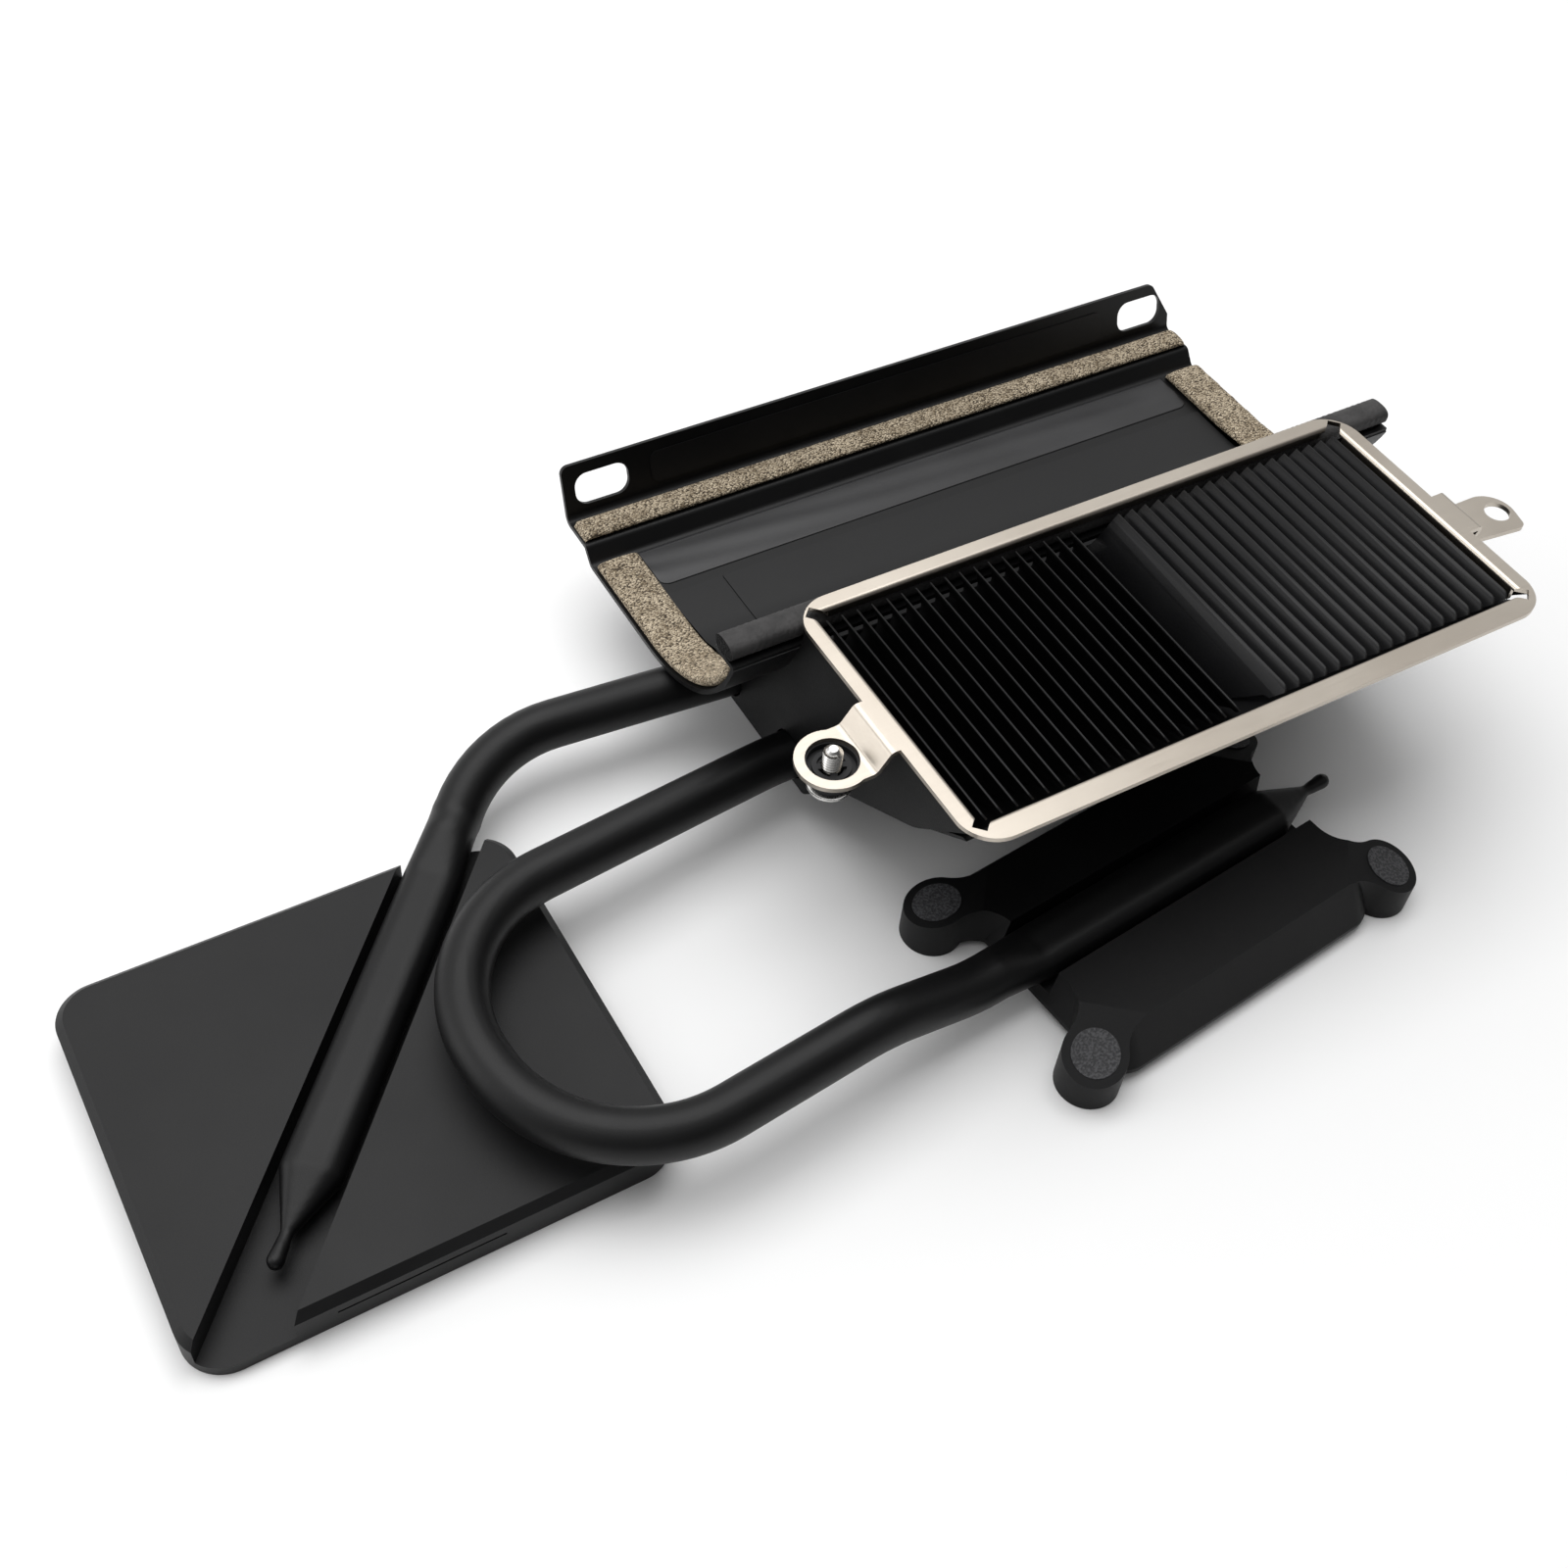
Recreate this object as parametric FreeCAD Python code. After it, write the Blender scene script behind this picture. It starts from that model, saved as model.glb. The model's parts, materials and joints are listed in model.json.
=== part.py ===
import FreeCAD, Part
import math
import os

V = FreeCAD.Vector
X_AXIS = V(1, 0, 0)
Z_AXIS = V(0, 0, 1)

# Frame: origin at the middle of the first plate's contact face, X along the fin stack, Y towards
# the air inlet, Z up. All sizes are millimetres.

# Heat pipes
PIPE_D = 8.0
PIPE_FLAT_T = 6.0
PIPE_BEND_R = 24.0
PIPE_SOFT_BEND_R = 36.0
PIPE_PRESS_L = 8.0
PIPE_TAPER_L = 9.0
PIPE_NECK_D = 1.8
PIPE_NIPPLE_D = 2.5
PIPE_NIPPLE_L = 4.0
PIPE_HOLE_CLEARANCE = 0.3
PIPE_1_CORNER_X = 37.4
PIPE_1_CORNER_Y = 44.0
PIPE_1_Y = 40.4
PIPE_2_Y = 20.2
PIPE_END_GAP = 8.8
LOOP_X = 38.5
LOOP_Y = -9.5
LOOP_Z = 13.0
LOOP_LEGS = 49.0
LOOP_LEG_L = 50.0

# First cold plate, with the diagonal channel
CPU_L = 71.0
CPU_W = 63.2
CPU_T = 6.4
CPU_CORNER_R = 6.3
CPU_CHAMFER = 1.25
CPU_CHANNEL_W = 11.3
CPU_CHANNEL_FLOOR = 2.0
CPU_CHANNEL_ANGLE = 48.5
CPU_CHANNEL_SHIFT = 1.0
CPU_PIPE_FLAT = 51.5
CPU_PIPE_TIP_GAP = 17.0
CPU_SLIT_X = -4.0
CPU_SLIT_L = 24.0
CPU_SLIT_H = 0.4
CPU_SLIT_DEPTH = 0.5
CPU_SLIT_Z = 3.2

# Second cold plate, a casting turned in plan that stands on four ears
GPU_X = 123.9
GPU_Y = -25.9
GPU_ANGLE = 6.0
GPU_FOOT = 1.6
GPU_TOP = 9.6
GPU_LEFT = -28.0
GPU_RIGHT = 26.0
GPU_FRONT = -18.4
GPU_BACK = 15.8
GPU_BAND = 0.9
GPU_DRAFT_END = 1.3
GPU_DRAFT_SIDE = 3.7
GPU_CORNER_R = 3.5
GPU_CHANNEL_W = 11.2
GPU_CHANNEL_FLOOR = 4.6
GPU_PIPE_END = 22.4
EAR_R = 5.0
EAR_TOP = 7.3
EAR_TILT_ANGLE = 18.0
EAR_WEB_R = 6.0
EAR_SPAN = 63.4
EAR_FRONT_SHIFT = 0.0
EAR_BACK_SHIFT = -2.3
INSERT_R = 3.65
INSERT_PROUD = 0.15
INSERT_THREAD_R = 1.25
INSERT_THREAD_L = 3.6

# Fin stack
STACK_X = 135.2
STACK_OVERHANG = 0.4
STACK_WALL = 0.6
STACK_REAR = 46.0
STACK_BOTTOM = 6.1
STACK_FRONT = -24.3
KNEE_LOW_Y = 15.2
KNEE_MID_Y = 3.6
KNEE_MID_Z = 18.4
KNEE_TOP_Y = -13.2
KNEE_TOP_Z = 29.0
KNEE_LOW_R = 2.0
KNEE_MID_R = 4.0
KNEE_TOP_R = 14.0
BASE_T = 1.0
FIN_COUNT = 36
FIN_SIDE_CLEARANCE = 0.4
FIN_T = 0.5
FIN_LEAN = 3.0
FIN_BEND_Z = 29.0
FIN_TOP = 39.2
FIN_FRONT = -22.8
FIN_CORNER_R = 2.0

# Exhaust frame
FRAME_L = 108.2
FRAME_W = 52.8
FRAME_Y = -2.6
FRAME_TOP = 40.7
FRAME_T = 0.8
FRAME_BAND = 3.9
FRAME_CORNER_R = 6.0
FRAME_LIP_H = 3.0
FRAME_RELIEF = 2.2
FRAME_FOLD_R = 0.7
TAB_DROP = 3.3
TAB_W = 10.4
TAB_FLAT = 1.4
TAB_SLOPE = 2.2
TAB_BEND_R = 1.2
LEFT_TAB_Y = -2.6
LEFT_TAB_REACH = 7.8
LEFT_DISC_R = 5.6
LEFT_HOLE_R = 4.0
RIGHT_TAB_Y = -4.9
RIGHT_TAB_W = 9.2
RIGHT_TAB_FLAT = 3.6
RIGHT_TAB_RETURN = 1.9
RIGHT_TAB_BEND_R = 0.9
RIGHT_TAB_REACH = 11.3
RIGHT_HOLE_SHIFT = -0.8
RIGHT_END_BACK = 4.6
RIGHT_END_FRONT = 4.8
RIGHT_END_SKEW = 1.1
RIGHT_END_BACK_X = 4.2
RIGHT_END_FRONT_X = 1.9
RIGHT_END_BACK_R = 4.6
RIGHT_END_FRONT_R = 1.3
RIGHT_HOLE_R = 2.2

# Captive screw in the left tab
SCREW_R = 1.5
SCREW_HEAD_R = 3.4
SCREW_HEAD_T = 0.8
SCREW_TIP = 39.7
SCREW_CHAMFER = 0.8
GROMMET_R = 3.0
GROMMET_T = 3.0
GROMMET_SINK = 1.8
GROMMET_BORE_R = 1.8
GROMMET_CUP_R = 4.4
GROMMET_CUP_BORE_R = 3.7
GROMMET_CUP_FLOOR = 0.8
CLIP_R = 2.9
CLIP_T = 0.5
CLIP_RING_R = 2.2
CLIP_BORE_R = 1.55
CLIP_PRONGS = 4
CLIP_PRONG_W = 1.0
CLIP_ANGLE = 70.0

# Inlet scoop, a folded sheet
SCOOP_RIM_W = 11.4
SCOOP_T = 0.8
SCOOP_FLOOR = 15.9
SCOOP_ARC_R = 27.4
SCOOP_BEND_R = 1.2
RISER_Y = 68.6
RISER_RUN = 2.2
STEP_Z = 18.6
STEP_END = 77.6
FLANGE_H = 10.0
FLANGE_LEAN = 15.7
FLANGE_CORNER_R = 1.5
FLANGE_TAPER = 4.2
FLANGE_TAPER_Y = 3.0
SLOT_L = 10.2
SLOT_W = 5.8
SLOT_CORNER_R = 2.4
SLOT_INSET = 7.25
SLOT_Y = 5.0
LIP_W = 5.6
LIP_Y = 20.6
LIP_JOIN = 0.6

# Foam strips and adhesive sheets
FOAM_SIDE_W = 7.8
FOAM_SIDE_T = 2.0
FOAM_SHORT_ANGLE = 9.0
FOAM_END_Y = 67.4
FOAM_BACK_W = 5.6
FOAM_BACK_T = 1.6
LIP_FOAM_W = 5.0
LIP_FOAM_H = 3.2
LIP_FOAM_GAP = 1.0
FOAM_INSET = 0.3
FILM_T = 0.2
FILM_FRONT_GAP = 0.8
FILM_FOLD = 56.5
FILM_SLIT_X = -46.5
FILM_SLIT_W = 0.5
FILM_SLIT_INSET = 1.0
TAPE_FRONT = 58.8
TAPE_BACK = 65.6
TAPE_INSET = 15.1
FLANGE_FILM_INSET = 16.6
FLANGE_FILM_W = 5.8

# Places that follow from the sizes above
PIPE_FLAT_W = PIPE_FLAT_T + math.pi * (PIPE_D - PIPE_FLAT_T) / 2
PIPE_DROP = (PIPE_D - PIPE_FLAT_T) / 2
STACK_L = FRAME_L - 2 * STACK_OVERHANG
FIN_PITCH = (FRAME_L - 2 * (FRAME_BAND + FIN_SIDE_CLEARANCE + FIN_LEAN) - FIN_T) / (FIN_COUNT - 1)
STACK_LEFT = STACK_X - STACK_L / 2
STACK_RIGHT = STACK_X + STACK_L / 2
STACK_TOP = FRAME_TOP - FRAME_T
PIPE_STOP_X = STACK_RIGHT - STACK_WALL - PIPE_END_GAP
SCOOP_L = STACK_L + 2 * SCOOP_RIM_W
SCOOP_LEFT = STACK_X - SCOOP_L / 2
SCOOP_RIGHT = STACK_X + SCOOP_L / 2
SCOOP_ARC_Z = SCOOP_FLOOR + SCOOP_ARC_R
BASE_Z = SCOOP_FLOOR - BASE_T
PIPE_STACK_Z = BASE_Z - PIPE_D / 2
CPU_PIPE_Z = CPU_CHANNEL_FLOOR + PIPE_D / 2
GPU_PIPE_Z = GPU_CHANNEL_FLOOR + PIPE_D / 2
GPU_PLACE = FreeCAD.Placement(V(GPU_X, GPU_Y, 0), FreeCAD.Rotation(Z_AXIS, GPU_ANGLE))
LEFT_HOLE = V(STACK_X - FRAME_L / 2 - LEFT_TAB_REACH, LEFT_TAB_Y, FRAME_TOP - TAB_DROP)
RIGHT_HOLE = V(STACK_X + FRAME_L / 2 + RIGHT_TAB_REACH, RIGHT_TAB_Y + RIGHT_HOLE_SHIFT, FRAME_TOP - TAB_DROP)
GROMMET_TOP = LEFT_HOLE.z - GROMMET_SINK
GROMMET_FOOT = GROMMET_TOP - GROMMET_T
LIP_Z = STACK_TOP - LIP_FOAM_GAP - LIP_FOAM_H - SCOOP_T
SCOOP_ARC_ANGLE = math.degrees(math.acos((SCOOP_ARC_Z - LIP_Z - SCOOP_T / 2) / SCOOP_ARC_R))
SCOOP_ARC_Y = LIP_Y + LIP_JOIN + SCOOP_ARC_R * math.sin(math.radians(SCOOP_ARC_ANGLE))
FOAM_ARC_ANGLE = SCOOP_ARC_ANGLE - FOAM_SHORT_ANGLE
FILM_FRONT = SCOOP_ARC_Y + FILM_FRONT_GAP
CUT = 200.0
CUT_DEPTH = 4.0
MARGIN = 1.0
EDGE_TOLERANCE = 0.01


def unit(vector):
    """The same direction with length one."""
    return vector * (1.0 / vector.Length)


def box(x0, x1, y0, y1, z0, z1):
    """A block between two corners."""
    return Part.makeBox(x1 - x0, y1 - y0, z1 - z0, V(x0, y0, z0))


def upright(x, y, radius, z0, z1):
    """A vertical cylinder."""
    return Part.makeCylinder(radius, z1 - z0, V(x, y, z0))


def rounded_wire(points, radii, closed=False):
    """Straight runs joined by tangent arcs; a radius of zero leaves a sharp corner."""
    count = len(points)
    corners = []
    for i, corner in enumerate(points):
        is_end = not closed and i in (0, count - 1)
        if is_end or radii[i] == 0:
            corners.append((corner, None, corner))
            continue
        back = unit(points[i - 1] - corner)
        ahead = unit(points[(i + 1) % count] - corner)
        half = back.getAngle(ahead) / 2
        reach = radii[i] / math.tan(half)
        middle = corner + unit(back + ahead) * (radii[i] / math.sin(half) - radii[i])
        corners.append((corner + back * reach, middle, corner + ahead * reach))
    edges = []
    for i, (arrive, middle, leave) in enumerate(corners):
        if middle is not None:
            edges.append(Part.Arc(arrive, middle, leave).toShape())
        if closed or i + 1 < count:
            following = corners[(i + 1) % count][0]
            if (following - leave).Length > 1e-6:
                edges.append(Part.makeLine(leave, following))
    return Part.Wire(edges)


def prism_x(wire, x0, x1):
    """A closed outline in the YZ plane, drawn out along X."""
    face = Part.Face(wire)
    face.translate(V(x0, 0, 0))
    return face.extrude(V(x1 - x0, 0, 0))


def sheet_x(wire, thickness, x0, x1):
    """A bent sheet: an open outline in the YZ plane given a thickness and drawn out along X."""
    strip = wire.makeOffset2D(-thickness, 0, True, True)
    strip.translate(V(x0, 0, 0))
    return strip.extrude(V(x1 - x0, 0, 0))


def rounded_rectangle(x0, x1, y0, y1, radius, z):
    """A level rectangle with round corners."""
    points = [V(x0, y0, z), V(x1, y0, z), V(x1, y1, z), V(x0, y1, z)]
    return rounded_wire(points, [radius] * 4, closed=True)


def rounded_plate(x0, x1, y0, y1, radius, z0, z1):
    """A flat plate with round corners."""
    face = Part.Face(rounded_rectangle(x0, x1, y0, y1, radius, z0))
    return face.extrude(V(0, 0, z1 - z0))


def oval_wire(x, width, height, level=0):
    """A pipe's section across X: flat oval, or round where width and height are the same."""
    r = height / 2
    half = (width - height) / 2
    turn = math.radians(90 if half > 0 else 60)
    y = half + r * math.cos(turn)
    z = r * math.sin(turn)
    east = Part.Arc(V(x, y, level - z), V(x, half + r, level), V(x, y, level + z)).toShape()
    west = Part.Arc(V(x, -y, level + z), V(x, -half - r, level), V(x, -y, level - z)).toShape()
    if half > 0:
        north = Part.makeLine(V(x, y, level + z), V(x, -y, level + z))
        south = Part.makeLine(V(x, -y, level - z), V(x, y, level - z))
    else:
        north = Part.Arc(V(x, y, level + z), V(x, 0, level + r), V(x, -y, level + z)).toShape()
        south = Part.Arc(V(x, -y, level - z), V(x, 0, level - r), V(x, y, level - z)).toShape()
    return Part.Wire([east, north, west, south])


def pressed_end(flat_length):
    """A pipe's pressed end along X: round, then flat on the same floor, a taper and a sealed nipple."""
    flat = PIPE_PRESS_L + flat_length
    neck = flat + PIPE_TAPER_L
    round_start = oval_wire(0, PIPE_D, PIPE_D)
    flat_start = oval_wire(PIPE_PRESS_L, PIPE_FLAT_W, PIPE_FLAT_T, -PIPE_DROP)
    flat_stop = oval_wire(flat, PIPE_FLAT_W, PIPE_FLAT_T, -PIPE_DROP)
    neck_start = oval_wire(neck, PIPE_NECK_D, PIPE_NECK_D, -PIPE_DROP)
    press = Part.makeLoft([round_start, flat_start], True)
    run = Part.Face(flat_start).extrude(V(flat_length, 0, 0))
    taper = Part.makeLoft([flat_stop, neck_start], True)
    tip = V(neck, 0, -PIPE_DROP)
    nipple = Part.makeCone(PIPE_NECK_D / 2, PIPE_NIPPLE_D / 2, PIPE_NIPPLE_L, tip, X_AXIS)
    ball = Part.makeSphere(PIPE_NIPPLE_D / 2, tip + X_AXIS * PIPE_NIPPLE_L)
    return press.fuse([run, taper, nipple, ball])


def round_tube(points, radii):
    """A solid round pipe along straight runs and tangent arcs."""
    path = rounded_wire(points, radii)
    section = Part.Wire(Part.makeCircle(PIPE_D / 2, points[0], points[1] - points[0]))
    return path.makePipeShell([section], True, True)


def heading(degrees):
    """Level unit vector at an angle from X."""
    return V(math.cos(math.radians(degrees)), math.sin(math.radians(degrees)), 0)


def cpu_channel_point(along, z):
    """A point on the first plate's channel line, measured from the plate's middle."""
    across = heading(CPU_CHANNEL_ANGLE + 90) * CPU_CHANNEL_SHIFT
    return across + heading(CPU_CHANNEL_ANGLE) * along + V(0, 0, z)


def gpu_point(along, across, z):
    """A point in the second plate's own turned frame."""
    return GPU_PLACE.multVec(V(along, across, z))


def cpu_cold_plate():
    """Block with round corners, a chamfered rim, the diagonal channel and a slit in its front."""
    blank = rounded_plate(-CPU_L / 2, CPU_L / 2, -CPU_W / 2, CPU_W / 2, CPU_CORNER_R, 0, CPU_T)
    rim = [e for e in blank.Edges if e.BoundBox.ZMin > CPU_T - EDGE_TOLERANCE]
    blank = blank.makeChamfer(CPU_CHAMFER, rim)
    channel = box(-CUT / 2, CUT / 2, -CPU_CHANNEL_W / 2, CPU_CHANNEL_W / 2, CPU_CHANNEL_FLOOR, CUT)
    turn = FreeCAD.Rotation(Z_AXIS, CPU_CHANNEL_ANGLE)
    channel.Placement = FreeCAD.Placement(cpu_channel_point(0, 0), turn)
    front = -CPU_W / 2
    slit = box(CPU_SLIT_X - CPU_SLIT_L / 2, CPU_SLIT_X + CPU_SLIT_L / 2, front - MARGIN,
               front + CPU_SLIT_DEPTH, CPU_SLIT_Z, CPU_SLIT_Z + CPU_SLIT_H)
    return blank.cut(channel).cut(slit)


def cpu_heat_pipe():
    """Pressed flat in the diagonal channel, then up and round into the stack."""
    flat_end = CPU_PIPE_FLAT - CPU_PIPE_TIP_GAP
    leave = cpu_channel_point(flat_end + PIPE_PRESS_L, CPU_PIPE_Z)
    lift = cpu_channel_point(flat_end + PIPE_PRESS_L + PIPE_D / 2, CPU_PIPE_Z)
    corner = V(PIPE_1_CORNER_X, PIPE_1_CORNER_Y, PIPE_STACK_Z)
    entry = V(STACK_LEFT, PIPE_1_Y, PIPE_STACK_Z)
    stop = V(PIPE_STOP_X, PIPE_1_Y, PIPE_STACK_Z)
    tube = round_tube([leave, lift, corner, entry, stop], [0, PIPE_D, PIPE_BEND_R, PIPE_SOFT_BEND_R, 0])
    end = pressed_end(CPU_PIPE_FLAT)
    end.Placement = FreeCAD.Placement(leave, FreeCAD.Rotation(Z_AXIS, CPU_CHANNEL_ANGLE + 180))
    return tube.fuse(end).removeSplitter()


def gpu_heat_pipe():
    """From the stack, round a U-turn over the first plate and down onto the second block."""
    middle = V(LOOP_X, LOOP_Y, LOOP_Z)
    ahead = heading(GPU_ANGLE)
    aside = heading(GPU_ANGLE + 90)
    back_corner = middle - ahead * PIPE_BEND_R + aside * LOOP_LEGS / 2
    front_corner = middle - ahead * PIPE_BEND_R - aside * LOOP_LEGS / 2
    entry = V(STACK_LEFT - PIPE_D / 2, PIPE_2_Y, PIPE_STACK_Z)
    stop = V(PIPE_STOP_X, PIPE_2_Y, PIPE_STACK_Z)
    drop = front_corner + ahead * LOOP_LEG_L
    end_start = gpu_point(GPU_LEFT - PIPE_PRESS_L, 0, GPU_PIPE_Z)
    land = end_start - ahead * PIPE_D / 2
    tube = round_tube([stop, entry, back_corner, front_corner, drop, land, end_start],
                      [0, PIPE_SOFT_BEND_R, PIPE_BEND_R, PIPE_BEND_R, PIPE_SOFT_BEND_R, PIPE_BEND_R, 0])
    end = pressed_end(GPU_PIPE_END - GPU_LEFT)
    end.Placement = FreeCAD.Placement(end_start, FreeCAD.Rotation(Z_AXIS, GPU_ANGLE))
    return tube.fuse(end).removeSplitter()


def ear_centres():
    """The four ears in the second plate's own frame, on its front and back lines."""
    front = [V(EAR_FRONT_SHIFT + side * EAR_SPAN / 2, GPU_FRONT, 0) for side in (-1, 1)]
    back = [V(EAR_BACK_SHIFT + side * EAR_SPAN / 2, GPU_BACK, 0) for side in (-1, 1)]
    return front + back


def above_ear(ear, rise):
    """All the space above an ear's sloping top, which falls away from the plate's middle."""
    outward = unit(V(math.copysign(1, ear.x), math.copysign(1, ear.y), 0))
    space = box(-CUT / 2, CUT / 2, -CUT / 2, CUT / 2, 0, CUT)
    turn = FreeCAD.Rotation(Z_AXIS.cross(outward), EAR_TILT_ANGLE)
    space.Placement = FreeCAD.Placement(V(ear.x, ear.y, EAR_TOP + rise), turn)
    return space


def ear_plan():
    """Level outline of the lands with the ears, with hollow curves where an ear leaves a side."""
    lands = Part.Face(rounded_rectangle(GPU_LEFT, GPU_RIGHT, GPU_FRONT, GPU_BACK, GPU_CORNER_R, GPU_FOOT))
    additions = []
    for ear in ear_centres():
        inside = GPU_LEFT + EAR_R if ear.x < 0 else GPU_RIGHT - EAR_R
        start = V(min(ear.x, inside), min(ear.y, ear.y - math.copysign(EAR_R, ear.y)), GPU_FOOT)
        additions.append(Part.Face(Part.Wire(Part.makeCircle(EAR_R, V(ear.x, ear.y, GPU_FOOT)))))
        additions.append(Part.makePlane(abs(ear.x - inside), EAR_R, start))
    outline = lands.fuse(additions).removeSplitter().Faces[0].OuterWire
    return outline.makeOffset2D(EAR_WEB_R).makeOffset2D(-EAR_WEB_R)


def gpu_cold_plate():
    """Drafted casting on four ears, with the pipe channel between two lands."""
    foot = (GPU_LEFT - GPU_DRAFT_END, GPU_RIGHT + GPU_DRAFT_END, GPU_FRONT - GPU_DRAFT_SIDE,
            GPU_BACK + GPU_DRAFT_SIDE, GPU_CORNER_R + GPU_DRAFT_END)
    band_top = GPU_FOOT + GPU_BAND
    lands = rounded_rectangle(GPU_LEFT, GPU_RIGHT, GPU_FRONT, GPU_BACK, GPU_CORNER_R, GPU_TOP)
    band = rounded_plate(*foot, GPU_FOOT, band_top)
    skirt = Part.makeLoft([rounded_rectangle(*foot, band_top), lands], True)
    webs = Part.Face(ear_plan()).extrude(V(0, 0, GPU_TOP - GPU_FOOT))
    legs = [upright(ear.x, ear.y, EAR_R, 0, EAR_TOP) for ear in ear_centres()]
    half = GPU_CHANNEL_W / 2
    cuts = [box(-CUT / 2, CUT / 2, -half, half, GPU_CHANNEL_FLOOR, CUT)]
    for ear in ear_centres():
        cuts.append(above_ear(ear, 0))
        cuts.append(upright(ear.x, ear.y, INSERT_R, -MARGIN, CUT))
    body = webs.fuse([band, skirt] + legs).cut(cuts).removeSplitter()
    body.Placement = GPU_PLACE
    return body


def gpu_threaded_inserts():
    """Four pressed inserts: heads that slope with the ears and blind threads open below."""
    inserts = []
    for ear in ear_centres():
        blank = upright(ear.x, ear.y, INSERT_R, 0, 2 * EAR_TOP)
        thread = upright(ear.x, ear.y, INSERT_THREAD_R, -MARGIN, INSERT_THREAD_L)
        insert = blank.cut([thread, above_ear(ear, INSERT_PROUD)])
        insert.Placement = GPU_PLACE
        inserts.append(insert)
    return Part.makeCompound(inserts)


def stack_outline():
    """Side view of the fin stack's walls in the YZ plane, before the inlet is cut away."""
    points = [V(0, STACK_REAR, STACK_BOTTOM), V(0, KNEE_LOW_Y, STACK_BOTTOM), V(0, KNEE_MID_Y, KNEE_MID_Z),
              V(0, KNEE_TOP_Y, KNEE_TOP_Z), V(0, STACK_FRONT, STACK_TOP), V(0, STACK_REAR, STACK_TOP)]
    return rounded_wire(points, [0, KNEE_LOW_R, KNEE_MID_R, KNEE_TOP_R, 0, 0], closed=True)


def inlet_cut():
    """The round space in front of the inlet, up to the outside of the scoop's curved rims."""
    start = V(STACK_X - CUT / 2, SCOOP_ARC_Y, SCOOP_ARC_Z)
    return Part.makeCylinder(SCOOP_ARC_R + SCOOP_T, CUT, start, X_AXIS)


def end_plate(x0):
    """Side wall of the stack."""
    plate = prism_x(stack_outline(), x0, x0 + STACK_WALL)
    above = box(x0 - MARGIN, x0 + MARGIN, SCOOP_ARC_Y - SCOOP_ARC_R, CUT, SCOOP_ARC_Z, CUT)
    return plate.cut([inlet_cut(), above])


def left_end_plate():
    """Side wall with the two pipe holes."""
    plate = end_plate(STACK_LEFT)
    for y in (PIPE_1_Y, PIPE_2_Y):
        start = V(STACK_LEFT - MARGIN, y, PIPE_STACK_Z)
        plate = plate.cut(Part.makeCylinder(PIPE_D / 2 + PIPE_HOLE_CLEARANCE, CUT_DEPTH, start, X_AXIS))
    return plate


def right_end_plate():
    """Closed side wall."""
    return end_plate(STACK_RIGHT - STACK_WALL)


def lower_shroud():
    """Folded sheet between the end plates: rear wall, floor, slope and front."""
    x0 = STACK_LEFT + STACK_WALL
    x1 = STACK_RIGHT - STACK_WALL
    outer = prism_x(stack_outline(), x0, x1)
    inner = prism_x(stack_outline().makeOffset2D(-STACK_WALL), x0 - MARGIN, x1 + MARGIN)
    ring = outer.cut(inner)
    above_floor = box(x0 - MARGIN, x1 + MARGIN, KNEE_LOW_Y, CUT, SCOOP_FLOOR - SCOOP_T, CUT)
    rim = box(x0 - MARGIN, x1 + MARGIN, -CUT, CUT, STACK_TOP - FRAME_LIP_H, CUT)
    return ring.cut([above_floor, rim])


def fin_base():
    """Plate under the fins, over the pipes."""
    x0 = STACK_LEFT + STACK_WALL
    x1 = STACK_RIGHT - STACK_WALL
    inner = prism_x(stack_outline().makeOffset2D(-STACK_WALL), x0, x1)
    return inner.common(box(x0, x1, STACK_FRONT, STACK_REAR - BASE_T, BASE_Z, SCOOP_FLOOR))


def fin_profile():
    """Side view of a fin as a slab across the whole stack."""
    inner = stack_outline().makeOffset2D(-STACK_WALL)
    slab = prism_x(inner, STACK_LEFT, STACK_RIGHT)
    points = [V(0, FIN_FRONT, SCOOP_FLOOR), V(0, STACK_REAR, SCOOP_FLOOR), V(0, STACK_REAR, FIN_TOP),
              V(0, FIN_FRONT, FIN_TOP)]
    limits = prism_x(rounded_wire(points, [0, 0, 0, FIN_CORNER_R], closed=True), STACK_LEFT, STACK_RIGHT)
    return slab.common(limits).cut(inlet_cut())


def fin(index, profile):
    """One fin: upright from the base, then curving away from the middle of the stack."""
    x = STACK_X + (index - (FIN_COUNT - 1) / 2) * FIN_PITCH
    side = math.copysign(1, x - STACK_X)
    rise = FIN_TOP - FIN_BEND_Z
    turn = 2 * math.atan(FIN_LEAN / rise)
    radius = rise / math.sin(turn)

    def curve_point(reach, angle):
        return V(x + side * (radius - reach * math.cos(angle)), 0, FIN_BEND_Z + reach * math.sin(angle))

    edges = []
    ends = []
    for reach in (radius + FIN_T / 2, radius - FIN_T / 2):
        bend, middle, tip = [curve_point(reach, angle) for angle in (0, turn / 2, turn)]
        foot = V(bend.x, 0, SCOOP_FLOOR)
        edges += [Part.makeLine(foot, bend), Part.Arc(bend, middle, tip).toShape()]
        ends.append((foot, tip))
    edges += [Part.makeLine(ends[0][0], ends[1][0]), Part.makeLine(ends[0][1], ends[1][1])]
    face = Part.Face(Part.Wire(Part.sortEdges(edges)[0]))
    face.translate(V(0, -CUT / 2, 0))
    return face.extrude(V(0, CUT, 0)).common(profile)


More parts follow.
